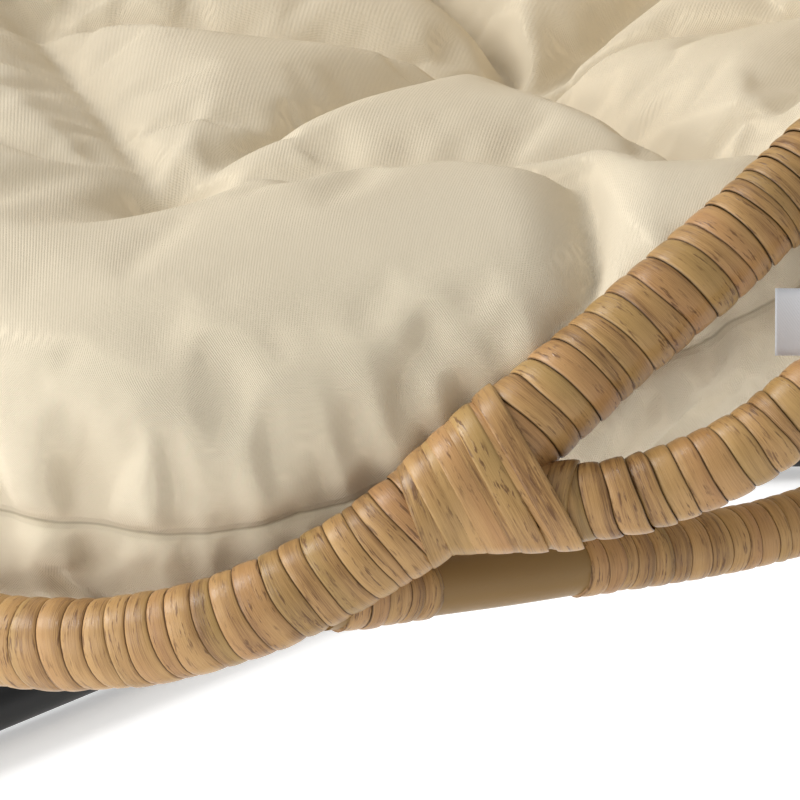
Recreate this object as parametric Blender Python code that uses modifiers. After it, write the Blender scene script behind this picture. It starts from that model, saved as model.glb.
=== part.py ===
"""Hanging egg chair: a wicker-wrapped steel basket with a tufted cushion, hung from a
black steel stand by two snap hooks, a drawbar spring and a swivel.

Frame: metres, +Z up, the sitter faces -Y. The origin is on the floor, at the centre of
the whole chair's bounding box. Basket and stand are laid out from the hanging line, the
vertical through the stand's eye, which stands at y = HANG_Y.
"""

import math

import bpy
import bmesh
from mathutils import Matrix, Vector

# ---------------------------------------------------------------- driving dimensions
HANG_Y = -0.199235         # the hanging line, measured from the origin
BASKET_Y = -0.048         # the basket's own zero, ahead of the hanging line, for balance
GAP = 0.0004              # left between pieces that touch

# Bare tube radii, and how much the wound wicker adds to each
RIM_R = 0.016
BELT_R = 0.0130
RING_R = 0.0125
RIB_R = 0.0080
WRAP_RIM = 0.0030
WRAP_BELT = 0.0028
WRAP_RING = 0.0013

# Stand
BASE_R = 0.019            # base tube
POLE_R = 0.0225           # pole tube
FOOT_H = 0.006            # thickness of a foot pad under the base tube
BASE_HALF_WIDTH = 0.478
BASE_FRONT = -0.340       # base centreline, from the hanging line
BASE_BACK = 0.820
BASE_CORNER = 0.220
BASE_Z = FOOT_H + BASE_R
SLEEVE_WALL = 0.003
ARM_Z = 1.905             # centreline of the pole where it ends above the chair

# Hanging hardware
EYE_RING = 0.014          # centreline radius of the stand's eye
EYE_WIRE = 0.0045
EYE_Z = 1.8550
HOOK_HALF = 0.014         # half width of a snap hook's loop, on its centreline
HOOK_WIRE = 0.0040
HOOK_STRAIGHT = 0.044
BAR_HALF = 0.009          # half width of a drawbar's loop
BAR_WIRE = 0.0025
COIL_MEAN = 0.0170
COIL_WIRE = 0.0030
COIL_TURNS = 8
COIL_LENGTH = 0.094
SWIVEL_RING = 0.0105
SWIVEL_WIRE = 0.0035

# Heights that follow from the hardware hanging from the eye, one below the other
HOOK_A_TOP = EYE_Z - EYE_RING + EYE_WIRE + HOOK_WIRE + GAP
HOOK_A_LOW = HOOK_A_TOP - 2 * HOOK_HALF - HOOK_STRAIGHT
DRAW_TOP = HOOK_A_LOW + HOOK_WIRE + BAR_WIRE + 0.0006
COIL_TOP = DRAW_TOP - 0.033
COIL_LOW = COIL_TOP - COIL_LENGTH
DRAW_LOW = COIL_LOW - 0.034
SWIVEL_Z = DRAW_LOW + BAR_WIRE + SWIVEL_WIRE + GAP - SWIVEL_RING
BARREL_TOP = SWIVEL_Z - SWIVEL_RING - 0.0060
BARREL_H = 0.024
HOOK_B_TOP = BARREL_TOP - BARREL_H - 0.001
HOOK_B_LOW = HOOK_B_TOP - 2 * HOOK_HALF - HOOK_STRAIGHT
STAPLE_TOP = HOOK_B_LOW + 2 * HOOK_WIRE + GAP
CROWN_Z = STAPLE_TOP - 0.045

# Basket centrelines, right half, as (x, y from the basket's zero, z). They start on the
# plane of symmetry or at the rim, and the left half mirrors them.
RIM = [
    (0.000, -0.390, 0.345), (0.055, -0.386, 0.348), (0.101, -0.376, 0.355),
    (0.140, -0.361, 0.367), (0.172, -0.339, 0.384), (0.199, -0.311, 0.407),
    (0.221, -0.277, 0.437), (0.245, -0.227, 0.476), (0.271, -0.165, 0.521),
    (0.304, -0.080, 0.588), (0.333, -0.010, 0.668), (0.352, 0.030, 0.765),
    (0.358, 0.051, 0.875), (0.346, 0.055, 0.995), (0.314, 0.055, 1.112),
    (0.260, 0.053, 1.228), (0.186, 0.051, 1.330), (0.098, 0.049, 1.404),
    (0.000, 0.048, CROWN_Z),
]
BELT = [
    (0.205, -0.300, 0.413), (0.247, -0.273, 0.418), (0.274, -0.251, 0.424),
    (0.300, -0.223, 0.440), (0.322, -0.189, 0.468), (0.355, -0.120, 0.510),
    (0.387, -0.040, 0.565), (0.402, 0.050, 0.622), (0.390, 0.145, 0.674),
    (0.340, 0.235, 0.716), (0.245, 0.305, 0.746), (0.125, 0.345, 0.763),
    (0.000, 0.356, 0.768),
]
RING = [
    (0.178, -0.333, 0.380), (0.188, -0.290, 0.375), (0.199, -0.245, 0.370),
    (0.212, -0.197, 0.366), (0.227, -0.152, 0.363), (0.243, -0.108, 0.364),
    (0.258, -0.055, 0.371), (0.264, 0.015, 0.380), (0.250, 0.088, 0.389),
    (0.205, 0.152, 0.397), (0.125, 0.200, 0.403), (0.000, 0.220, 0.406),
]
HOOP = [
    (0.338, 0.060, 1.030), (0.315, 0.150, 1.050), (0.240, 0.235, 1.065),
    (0.125, 0.285, 1.075), (0.000, 0.300, 1.080),
]

# One back rib for each entry: x on the seat ring, on the belt and at mid back, and the
# point where it meets the rim, for ribs from the middle outwards
RIBS = [
    ((0.000, 0.220, 0.406), (0.000, 0.297, 0.560), (0.000, 0.3310, 0.768),
     (0.000, 0.327, 0.930), (0.000, 0.2815, 1.080), (0.000, 0.183, 1.290), (0.000, 0.076, 1.425),
     (0.000, 0.049, 1.459)),
    ((0.105, 0.206, 0.404), (0.120, 0.285, 0.560), (0.124, 0.3196, 0.763),
     (0.125, 0.313, 0.930), (0.122, 0.2660, 1.075), (0.112, 0.175, 1.260), (0.096, 0.074, 1.388),
     (0.092, 0.051, 1.409)),
    ((0.188, 0.168, 0.399), (0.222, 0.235, 0.560), (0.232, 0.2836, 0.746),
     (0.234, 0.274, 0.920), (0.229, 0.2230, 1.062), (0.211, 0.142, 1.215), (0.186, 0.072, 1.314)),
    ((0.240, 0.108, 0.391), (0.291, 0.165, 0.550), (0.321, 0.2186, 0.716),
     (0.325, 0.200, 0.900), (0.299, 0.1450, 1.048), (0.282, 0.106, 1.150), (0.258, 0.076, 1.216)),
]
SLAT_XS = (-0.140, -0.070, 0.0, 0.070, 0.140)

# Cushion: the outer middle line (y, z), its half width, how far the sides rise and the
# thickness at each station, from the front edge over the seat and up the back
CUSHION = [
    (-0.392, 0.399, 0.095, 0.004, 0.030), (-0.372, 0.392, 0.125, 0.006, 0.070),
    (-0.320, 0.390, 0.158, 0.012, 0.100), (-0.240, 0.393, 0.205, 0.030, 0.115),
    (-0.140, 0.398, 0.262, 0.070, 0.120), (-0.040, 0.404, 0.300, 0.120, 0.120),
    (0.060, 0.412, 0.320, 0.150, 0.120), (0.150, 0.428, 0.318, 0.150, 0.120),
    (0.222, 0.475, 0.310, 0.140, 0.120), (0.270, 0.560, 0.305, 0.120, 0.120),
    (0.300, 0.660, 0.304, 0.110, 0.120), (0.306, 0.780, 0.300, 0.110, 0.118),
    (0.300, 0.900, 0.290, 0.110, 0.112), (0.268, 1.020, 0.270, 0.105, 0.104),
    (0.218, 1.120, 0.235, 0.090, 0.092), (0.168, 1.195, 0.185, 0.060, 0.070),
    (0.146, 1.226, 0.130, 0.030, 0.034),
]

BLACK_STEEL = ("black_powder_coat", (0.018, 0.018, 0.020, 1), 0.45, 0.3)
TAN_STEEL = ("tan_powder_coat", (0.330, 0.225, 0.110, 1), 0.50, 0.2)
ZINC = ("zinc_plated_steel", (0.560, 0.560, 0.570, 1), 0.28, 1.0)
WICKER = ("wicker", (0.420, 0.270, 0.130, 1), 0.55, 0.0)
FABRIC = ("cream_fabric", (0.760, 0.680, 0.520, 1), 0.90, 0.0)
LABEL = ("label_fabric", (0.850, 0.850, 0.860, 1), 0.85, 0.0)
PLASTIC = ("black_plastic", (0.030, 0.030, 0.032, 1), 0.60, 0.0)


# ---------------------------------------------------------------------- scene helpers
def clear_scene():
    for obj in list(bpy.data.objects):
        bpy.data.objects.remove(obj)


def new_collection(name):
    made = bpy.data.collections.new(name)
    bpy.context.scene.collection.children.link(made)
    return made


def finish_of(spec):
    """The Principled material for one of the finishes above, made once."""
    name, colour, roughness, metallic = spec
    found = bpy.data.materials.get(name)
    if found:
        return found
    made = bpy.data.materials.new(name)
    made.use_nodes = True
    shader = made.node_tree.nodes["Principled BSDF"]
    shader.inputs["Base Color"].default_value = colour
    shader.inputs["Roughness"].default_value = roughness
    shader.inputs["Metallic"].default_value = metallic
    made.diffuse_color = colour
    return made


def add_object(name, data, finish=None, cutter=False):
    obj = bpy.data.objects.new(name, data)
    (CUTTERS if cutter else CHAIR).objects.link(obj)
    if finish:
        data.materials.append(finish_of(finish))
    if cutter:
        obj.hide_render = True
        obj.display_type = "WIRE"
    return obj


def mesh_object(name, bm, finish=None, cutter=False):
    mesh = bpy.data.meshes.new(name)
    bm.to_mesh(mesh)
    bm.free()
    mesh.shade_smooth()
    mesh.set_sharp_from_angle(angle=math.radians(35))
    return add_object(name, mesh, finish, cutter)


# -------------------------------------------------------------------------- geometry
def hung(point):
    """A point given from the hanging line, in the chair's frame."""
    return Vector((point[0], point[1] + HANG_Y, point[2]))


def nested(point):
    """A point given from the basket's zero, in the chair's frame."""
    return hung((point[0], point[1] + BASKET_Y, point[2]))


def mirrored(half):
    """The whole symmetric line from its right half, which ends on the plane x = 0."""
    return [Vector(p) for p in half] + [Vector((-p[0], p[1], p[2])) for p in reversed(half[:-1])]


def spline_point(a, b, c, d, t):
    """Catmull-Rom between b and c."""
    return 0.5 * (2 * b + (c - a) * t + (2 * a - 5 * b + 4 * c - d) * t * t
                  + (3 * b - a - 3 * c + d) * t * t * t)


def smooth_line(points, closed=False, fine=12):
    """Many points along a smooth curve through the given ones."""
    pts = [Vector(p) for p in points]
    count = len(pts)
    last = count if closed else count - 1
    out = []
    for i in range(last):
        if closed:
            a, b, c, d = (pts[(i + k) % count] for k in (-1, 0, 1, 2))
        else:
            b, c = pts[i], pts[i + 1]
            a = pts[i - 1] if i else 2 * b - c
            d = pts[i + 2] if i + 2 < count else 2 * c - b
        out += [spline_point(a, b, c, d, k / fine) for k in range(fine)]
    return out if closed else out + [pts[-1]]


def spaced(points, step, closed=False):
    """The line walked again with equal steps of about this length."""
    line = list(points) + ([points[0]] if closed else [])
    runs = [0.0]
    for a, b in zip(line, line[1:]):
        runs.append(runs[-1] + (b - a).length)
    count = max(2, round(runs[-1] / step))
    out, j = [], 0
    for i in range(count if closed else count + 1):
        want = runs[-1] * i / count
        while j < len(runs) - 2 and runs[j + 1] < want:
            j += 1
        share = (want - runs[j]) / max(1e-9, runs[j + 1] - runs[j])
        out.append(line[j].lerp(line[j + 1], share))
    return out


def stretch(points, start, end, closed=False):
    """The part of a line from start to end, as shares of its length, on its own corners."""
    line = list(points) + ([points[0]] if closed else [])
    runs = [0.0]
    for a, b in zip(line, line[1:]):
        runs.append(runs[-1] + (b - a).length)
    out = []
    for want in (start, end):
        i = max(k for k in range(len(line) - 1) if runs[k] <= want * runs[-1] or not k)
        out.append(line[i].lerp(line[i + 1], (want * runs[-1] - runs[i]) / (runs[i + 1] - runs[i])))
    inside = [p for p, run in zip(line, runs)
              if start * runs[-1] + 0.004 < run < end * runs[-1] - 0.004]
    return [out[0]] + inside + [out[1]]


def tube(name, points, radius, finish, closed=False, sides=2, cutter=False, capped=True):
    """A round bar or tube along points, as a curve object."""
    curve = bpy.data.curves.new(name, "CURVE")
    curve.dimensions = "3D"
    curve.bevel_depth = radius
    curve.bevel_resolution = sides
    curve.use_fill_caps = capped and not closed
    spline = curve.splines.new("POLY")
    spline.points.add(len(points) - 1)
    for spot, p in zip(spline.points, points):
        spot.co = (*p, 1)
    spline.use_cyclic_u = closed
    return add_object(name, curve, finish, cutter)


def as_mesh(obj, finish=None):
    """The same object with its evaluated shape as a welded mesh."""
    graph = bpy.context.evaluated_depsgraph_get()
    graph.update()
    mesh = bpy.data.meshes.new_from_object(obj.evaluated_get(graph))
    bm = bmesh.new()
    bm.from_mesh(mesh)
    bmesh.ops.remove_doubles(bm, verts=bm.verts, dist=1e-5)
    bmesh.ops.recalc_face_normals(bm, faces=bm.faces)
    bm.to_mesh(mesh)
    bm.free()
    name, cutter, world = obj.name, obj.hide_render, obj.matrix_world.copy()
    old = obj.data
    bpy.data.objects.remove(obj)
    if isinstance(old, bpy.types.Curve):
        bpy.data.curves.remove(old)
    mesh.name = name
    mesh.materials.clear()
    made = add_object(name, mesh, finish, cutter)
    made.matrix_world = world
    return made


def boolean(obj, other, operation):
    mod = obj.modifiers.new(f"{operation.lower()}_{other.name}", "BOOLEAN")
    mod.operation = operation
    mod.object = other
    return mod


def fused(name, pieces, finish):
    """One mesh object from several overlapping ones, which are then removed."""
    first = pieces[0]
    for other in pieces[1:]:
        boolean(first, other, "UNION")
    bpy.context.view_layer.update()
    made = as_mesh(first, finish)
    made.name = name
    for other in pieces[1:]:
        bpy.data.objects.remove(other)
    return made


def cylinder(name, radius, start, end, finish=None, segments=20, cutter=False):
    start, end = Vector(start), Vector(end)
    bm = bmesh.new()
    bmesh.ops.create_cone(bm, cap_ends=True, segments=segments, radius1=radius,
                          radius2=radius, depth=(end - start).length)
    turn = (end - start).to_track_quat("Z", "Y").to_matrix().to_4x4()
    bmesh.ops.transform(bm, matrix=Matrix.Translation((start + end) / 2) @ turn, verts=bm.verts)
    return mesh_object(name, bm, finish, cutter)


def turned(name, profile, origin, axis, finish, steps=16):
    """A turned piece: profile is (radius, height), from the top outside to the bottom."""
    bm = bmesh.new()
    spots = [bm.verts.new((r, 0, h)) for r, h in profile]
    for a, b in zip(spots, spots[1:]):
        bm.edges.new((a, b))
    obj = mesh_object(name, bm, finish)
    screw = obj.modifiers.new("turn", "SCREW")
    screw.steps = screw.render_steps = steps
    screw.use_merge_vertices = True
    screw.merge_threshold = 0.00005
    screw.use_smooth_shade = True
    obj.matrix_world = (Matrix.Translation(Vector(origin))
                        @ Vector(axis).to_track_quat("Z", "Y").to_matrix().to_4x4())
    return obj


def bolt(name, head, axis, length, radius=0.004):
    """A button-head bolt: its head stands on the surface at head, its shank runs back."""
    dome = [(0, 0.0046), (0.0035, 0.0042), (0.0062, 0.0026), (0.0072, 0.0004), (0.0072, 0.0),
            (radius, 0.0), (radius, -length), (0, -length)]
    return turned(name, dome, head, axis, ZINC, steps=14)


# ----------------------------------------------------------------------------- stand
def base_half_line(side):
    """Centreline of half the base frame, from the front coupler round to the pole foot."""
    reach, corner = BASE_HALF_WIDTH, BASE_CORNER
    front = Vector((0, BASE_FRONT, BASE_Z))
    points = [front]
    for y0, start in ((BASE_FRONT + corner, -90), (BASE_BACK - corner, 0)):
        for k in range(9):
            a = math.radians(start + 90 * k / 8)
            points.append(Vector((reach - corner + corner * math.cos(a),
                                  y0 + corner * math.sin(a), BASE_Z)))
    points.append(Vector((0, BASE_BACK, BASE_Z)))
    return [hung((side * p.x, p.y, p.z)) for p in points]


def base_frame():
    for side, word in ((-1, "left"), (1, "right")):
        line = base_half_line(side)
        line[0].x = line[-1].x = side * 0.004
        half = as_mesh(tube(f"base_frame_{word}", line, BASE_R, BLACK_STEEL, sides=3), BLACK_STEEL)
        for end, y in (("front", BASE_FRONT), ("back", BASE_BACK)):
            hole = hung((side * 0.050, y, 0))
            cut = cylinder(f"cut_{end}_{word}", 0.0046, hole, hole + Vector((0, 0, 0.1)),
                           cutter=True)
            boolean(half, cut, "DIFFERENCE")
            top = hung((side * 0.050, y, BASE_Z + BASE_R + SLEEVE_WALL + GAP))
            bolt(f"base_bolt_{end}_{word}", top, (0, 0, 1), 0.030)


def hollow(obj, cuts):
    for cut in cuts:
        boolean(obj, cut, "DIFFERENCE")


def bolt_holes(y):
    """Cutters for the two upright bolts of a sleeve on the base frame at this y."""
    spots = [hung((side * 0.050, y, BASE_Z)) for side in (-1, 1)]
    return [cylinder(f"cut_bolt_{y:.1f}_{s.x:.2f}", 0.0046, s, s + Vector((0, 0, 0.04)), cutter=True)
            for s in spots]


def couplers():
    """The front coupler and the pole foot: sleeves over the ends of the base halves."""
    reach = 0.080
    outer, bore = BASE_R + SLEEVE_WALL, BASE_R + GAP
    for name, y in (("front_coupler", BASE_FRONT), ("pole_foot", BASE_BACK)):
        a, b = hung((-reach, y, BASE_Z)), hung((reach, y, BASE_Z))
        body = cylinder(name, outer, a, b, BLACK_STEEL, segments=24)
        past = Vector((0.01, 0, 0))
        cuts = [cylinder(f"cut_{name}", bore, a - past, b + past, segments=24, cutter=True)]
        if name == "pole_foot":
            socket = POLE_R + SLEEVE_WALL
            foot = hung((0, y, BASE_Z))
            upright = cylinder("pole_socket", socket, foot, foot + POLE_TILT * 0.150, BLACK_STEEL,
                               segments=24)
            body = fused(name, [body, upright], BLACK_STEEL)
            cuts.append(cylinder("cut_socket", POLE_R + GAP, foot + POLE_TILT * 0.030,
                                 foot + POLE_TILT * 0.170, segments=24, cutter=True))
        hollow(body, cuts + bolt_holes(y))
        if name == "pole_foot":
            clamp = foot + POLE_TILT * 0.110
            boolean(body, cylinder("cut_clamp", 0.0046, clamp, clamp + Vector((0, 0.04, 0)),
                                   cutter=True), "DIFFERENCE")


POLE_TILT = Vector((0, 0.012, 0.400)).normalized()
POLE_JOINT = 0.46         # share of the pole's length where its two parts meet


def pole_line():
    """Centreline of the whole pole, from inside its foot to the end of the arm."""
    foot = Vector((0, BASE_BACK, BASE_Z))
    spots = [foot + POLE_TILT * along for along in (0.036, 0.078, 0.120, 0.165, 0.215)]
    spots += [(0, 0.830, 0.45), (0, 0.822, 0.75), (0, 0.792, 1.05), (0, 0.731, 1.33),
              (0, 0.627, 1.58), (0, 0.474, 1.775), (0, 0.290, 1.880), (0, 0.120, 1.905),
              (0, -0.045, ARM_Z)]
    return smooth_line([hung(p) for p in spots])


def pole():
    """The pole in two lengths: the upper one has a reduced spigot inside the lower."""
    line = pole_line()
    lower = spaced(stretch(line, 0.0, POLE_JOINT), 0.06)
    upper = spaced(stretch(line, POLE_JOINT + 0.001, 1.0), 0.05)
    spigot_r, spigot_len = POLE_R - 0.004, 0.080
    seat = lower[-1]
    way = (lower[-1] - lower[-2]).normalized()
    bottom = tube("pole_lower", lower, POLE_R, BLACK_STEEL, sides=3)
    bottom = as_mesh(bottom, BLACK_STEEL)
    top = as_mesh(tube("pole_upper", upper, POLE_R, BLACK_STEEL, sides=3), BLACK_STEEL)
    spigot = cylinder("spigot", spigot_r, seat - way * spigot_len, seat + way * 0.02,
                      BLACK_STEEL)
    top = fused("pole_upper", [top, spigot], BLACK_STEEL)
    hollow(bottom, [cylinder("cut_spigot", spigot_r + GAP, seat - way * (spigot_len + 0.002),
                             seat + way * 0.02, cutter=True)])
    for name, piece, low, high in (("pole_clamp_bolt", bottom, 0, 0),
                                   ("pole_joint_bolt", bottom, 0, 0)):
        if name == "pole_clamp_bolt":
            spot = hung((0, BASE_BACK, BASE_Z)) + POLE_TILT * 0.110
            skin = POLE_R + SLEEVE_WALL
        else:
            spot = seat - way * 0.040
            skin = POLE_R
        back = Vector((0, 1, 0))
        boolean(piece, cylinder(f"cut_{name}", 0.0046, spot, spot + back * 0.05, cutter=True),
                "DIFFERENCE")
        bolt(name, spot + back * (skin + 0.0016), back, 0.016)
    joint = seat - way * 0.040
    boolean(top, cylinder("cut_joint_top", 0.0046, joint, joint + Vector((0, 0.05, 0)),
                          cutter=True), "DIFFERENCE")
    return top


def arm_fittings(arm):
    """Eye bolt through the end of the arm, its nut, and the cap in the tube's end."""
    eye = hung((0, 0, EYE_Z))
    ring = [eye + Vector((0, EYE_RING * math.cos(a), EYE_RING * math.sin(a)))
            for a in (math.tau * k / 20 for k in range(20))]
    loop = as_mesh(tube("eye_loop", ring, EYE_WIRE, ZINC, closed=True), ZINC)
    shank = cylinder("shank", 0.0050, eye + Vector((0, 0, EYE_RING)),
                     hung((0, 0, ARM_Z + POLE_R + 0.008)), ZINC)
    collar_top = ARM_Z - POLE_R - 0.0006
    collar = cylinder("collar", 0.0100, hung((0, 0, collar_top - 0.004)), hung((0, 0, collar_top)),
                      ZINC)
    fused("eye_bolt", [loop, shank, collar], ZINC)
    hole = cylinder("cut_arm", 0.0054, hung((0, 0, ARM_Z - 0.04)), hung((0, 0, ARM_Z + 0.04)),
                    cutter=True)
    boolean(arm, hole, "DIFFERENCE")
    seat = ARM_Z + POLE_R + 0.0006
    nut = [(0, 0.0120), (0.0045, 0.0112), (0.0078, 0.0085), (0.0085, 0.0060), (0.0085, 0),
           (0.0054, 0), (0.0054, 0.0078), (0, 0.0078)]
    turned("eye_nut", nut, hung((0, 0, seat)), (0, 0, 1), ZINC)
    face = hung((0, -0.045 - 0.0006, ARM_Z))
    cap = [(0, 0.0060), (0.0150, 0.0052), (0.0205, 0.0030), (POLE_R, 0.0), (0, 0.0)]
    turned("arm_end_cap", cap, face, (0, -1, 0), PLASTIC, steps=20)


def feet():
    """Four glides saddled under the base tube; their flat soles are on the floor."""
    spots = {"front_left": (-0.250, BASE_FRONT), "front_right": (0.250, BASE_FRONT),
             "back_left": (-0.250, BASE_BACK), "back_right": (0.250, BASE_BACK)}
    for word, (x, y) in spots.items():
        x = math.copysign(BASE_HALF_WIDTH - BASE_CORNER - 0.040, x)
        bm = bmesh.new()
        size = Matrix.Diagonal((0.056, 0.036, 0.014, 1))
        place = Matrix.Translation(hung((x, y, 0.007)))
        bmesh.ops.create_cube(bm, size=1, matrix=place @ size)
        pad = mesh_object(f"foot_pad_{word}", bm, PLASTIC)
        centre = hung((x, y, BASE_Z))
        reach = Vector((0.05, 0, 0))
        hollow(pad, [cylinder(f"cut_pad_{word}", BASE_R + GAP, centre - reach, centre + reach,
                              segments=24, cutter=True)])


# -------------------------------------------------------------------- hanging hardware
def hook_loop(top):
    """Centreline of a snap hook's body: an oval in XZ, open on its +X side for the gate."""
    arc_top, arc_low = top - HOOK_HALF, top - HOOK_HALF - HOOK_STRAIGHT
    points = [(HOOK_HALF, arc_top - 0.003)]
    points += [(HOOK_HALF * math.cos(a), arc_top + HOOK_HALF * math.sin(a))
               for a in (math.pi * k / 10 for k in range(11))]
    points += [(-HOOK_HALF * math.cos(a), arc_low - HOOK_HALF * math.sin(a))
               for a in (math.pi * k / 10 for k in range(11))]
    return [hung((x, 0, z)) for x, z in points]


def gate(name, top):
    """The hook's sprung gate: a bar whose round foot turns at the end of the hook."""
    low = top - HOOK_HALF - HOOK_STRAIGHT + 0.0040
    height = (top - HOOK_HALF - 0.0036) - low
    ball = [(0.0036 * math.cos(a), 0.0036 * math.sin(a)) for a in
            (-math.pi / 2 * k / 5 for k in range(6))]
    profile = [(0, height), (0.0036, height)] + ball[:-1] + [(0, ball[-1][1])]
    return turned(name, profile, hung((HOOK_HALF, 0, low)), (0, 0, 1), ZINC, steps=12)


def snap_hooks():
    as_mesh(tube("snap_hook_top", hook_loop(HOOK_A_TOP), HOOK_WIRE, ZINC), ZINC)
    gate("snap_gate_top", HOOK_A_TOP)
    loop = as_mesh(tube("snap_hook_low_loop", hook_loop(HOOK_B_TOP), HOOK_WIRE, ZINC), ZINC)
    low, top = -BARREL_H, 0.0
    barrel = [(0.0046, top), (0.0095, top), (0.0110, top - 0.002), (0.0110, low + 0.003),
              (0.0085, low), (0, low), (0, low + 0.004), (0.0080, low + 0.004),
              (0.0080, top - 0.006), (0.0046, top - 0.006), (0.0046, top)]
    cup = as_mesh(turned("barrel", barrel, hung((0, 0, BARREL_TOP)), (0, 0, 1), ZINC), ZINC)
    fused("snap_hook_low", [cup, loop], ZINC)
    gate("snap_gate_low", HOOK_B_TOP)
    swivel_eye()


def swivel_eye():
    """Ring on a headed stem, which turns in the barrel of the lower snap hook."""
    centre = hung((0, 0, SWIVEL_Z))
    ring = [centre + Vector((0, SWIVEL_RING * math.cos(a), SWIVEL_RING * math.sin(a)))
            for a in (math.tau * k / 18 for k in range(18))]
    loop = as_mesh(tube("swivel_loop", ring, SWIVEL_WIRE, ZINC, closed=True), ZINC)
    under = BARREL_TOP - 0.006
    stem = cylinder("stem", 0.0040, hung((0, 0, SWIVEL_Z - SWIVEL_RING)),
                    hung((0, 0, under - 0.002)), ZINC)
    head = cylinder("head", 0.0070, hung((0, 0, under - 0.006)), hung((0, 0, under - 0.0006)),
                    ZINC)
    fused("swivel_eye", [loop, stem, head], ZINC)


def drawbar(name, crest, sign, seat, across):
    """A bent wire: a loop at its crest, two legs through the coil, ends hooked outwards
    over the coil's far end. sign is +1 when the loop is at the top."""
    centre = crest - sign * BAR_HALF
    points = [(BAR_HALF * math.cos(a), centre + sign * BAR_HALF * math.sin(a))
              for a in (math.pi * k / 10 for k in range(11))]
    bend = 0.005
    tail = [(BAR_HALF, seat + sign * bend), (BAR_HALF + 0.3 * bend, seat + sign * 0.3 * bend),
            (BAR_HALF + bend, seat), (BAR_HALF + 0.011, seat)]
    points = [(x, z) for x, z in reversed(tail)] + points + [(-x, z) for x, z in tail]
    spots = [hung((t, 0, z)) if across == "x" else hung((0, t, z)) for t, z in points]
    return tube(name, spots, BAR_WIRE, ZINC)


def drawbar_spring():
    """Pulling the two drawbars apart squeezes the coil between their hooked ends."""
    clear = COIL_WIRE + BAR_WIRE + GAP
    drawbar("drawbar_upper", DRAW_TOP, 1, COIL_LOW - clear, "y")
    drawbar("drawbar_lower", DRAW_LOW, -1, COIL_TOP + clear, "x")
    per_turn, points = 10, []
    steps = COIL_TURNS * per_turn
    for k in range(steps + 1):
        turn = k / per_turn
        rise = COIL_LENGTH * smooth_end(turn / COIL_TURNS)
        a = math.tau * turn
        points.append(hung((COIL_MEAN * math.cos(a), COIL_MEAN * math.sin(a), COIL_LOW + rise)))
    tube("coil_spring", points, COIL_WIRE, BLACK_STEEL, sides=1)


def smooth_end(share):
    """Height share along the coil, with a flatter turn at each end."""
    flat = 0.75 / COIL_TURNS
    lift = 0.70 * COIL_WIRE * 2 * 0.75 / COIL_LENGTH
    if share < flat:
        return lift * share / flat
    if share > 1 - flat:
        return 1 - lift * (1 - share) / flat
    return lift + (1 - 2 * lift) * (share - flat) / (1 - 2 * flat)


# ---------------------------------------------------------------------------- basket
def rim_line():
    """Closed centreline of the rim, from the middle of the front round to the right."""
    half = [nested(p) for p in RIM]
    left = [Vector((-p.x, p.y, p.z)) for p in half[-2:0:-1]]
    return smooth_line(half + left, closed=True)


def half_line(points):
    """A whole mirrored centreline through points given for the right half."""
    return smooth_line([nested(p) for p in mirrored(points)])


def trimmed(obj, cutters):
    """Cuts a tube back from its neighbours, as a coped tube before it is welded."""
    for cut in cutters:
        boolean(obj, cut, "DIFFERENCE")
    return obj


def inside_only(mesh_obj, finish=TAN_STEEL):
    """Applies the trims and keeps the largest loose part, without the cut-off ends."""
    obj = as_mesh(mesh_obj, finish)
    bm = bmesh.new()
    bm.from_mesh(obj.data)
    left, groups = set(bm.verts), []
    while left:
        stack = [left.pop()]
        group = set(stack)
        while stack:
            for edge in stack.pop().link_edges:
                for v in edge.verts:
                    if v in left:
                        left.discard(v)
                        group.add(v)
                        stack.append(v)
        groups.append(group)
    main = max(groups, key=len)
    bmesh.ops.delete(bm, geom=[v for v in bm.verts if v not in main], context="VERTS")
    bm.to_mesh(obj.data)
    bm.free()
    return obj


def basket():
    rim = spaced(rim_line(), 0.050, closed=True)
    tube("rim_tube", rim, RIM_R, TAN_STEEL, closed=True)
    rim_cut = as_mesh(tube("cut_rim", rim, RIM_R + GAP, None, closed=True, cutter=True))
    belt, ring = spaced(half_line(BELT), 0.048), spaced(half_line(RING), 0.040)
    cuts = {"rim": rim_cut}
    for name, line, radius in (("belt", belt, BELT_R), ("ring", ring, RING_R)):
        part = as_mesh(tube(f"{NODE_OF[name]}", line, radius, TAN_STEEL), TAN_STEEL)
        inside_only(trimmed(part, [rim_cut]))
        cuts[name] = as_mesh(tube(f"cut_{name}", line, radius + GAP, None, cutter=True))
    ribs = back_ribs(rim_cut, cuts["ring"])
    bars = slats(rim_cut, cuts["ring"])
    hoop = spaced(half_line(HOOP), 0.045)
    hoop_tube = as_mesh(tube("back_hoop", hoop, RIB_R, TAN_STEEL), TAN_STEEL)
    inside_only(trimmed(hoop_tube, [rim_cut]))
    hoop_cut = as_mesh(tube("cut_hoop", hoop, RIB_R + GAP, None, cutter=True))
    crown_staple(rim_cut)
    windings(rim, belt, ring, cuts, ribs, bars, hoop_cut)


NODE_OF = {"belt": "belt_tube", "ring": "seat_ring_tube"}


def back_ribs(rim_cut, ring_cut):
    """Ribs from the seat ring up the back to the rim. Returns a cutter for each."""
    cutters = []
    for i, points in enumerate(RIBS):
        for side, word in ((-1, "left"), (1, "right")):
            if not i and side > 0:
                continue
            line = spaced(smooth_line([nested((side * x, y, z)) for x, y, z in points]), 0.050)
            name = f"back_rib_{word}_{i}" if i else "back_rib_middle"
            rib = as_mesh(tube(name, line, RIB_R, TAN_STEEL), TAN_STEEL)
            inside_only(trimmed(rib, [rim_cut, ring_cut]))
            cutters.append(as_mesh(tube(f"cut_{name}", line, RIB_R + GAP, None, cutter=True)))
    return cutters


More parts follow.
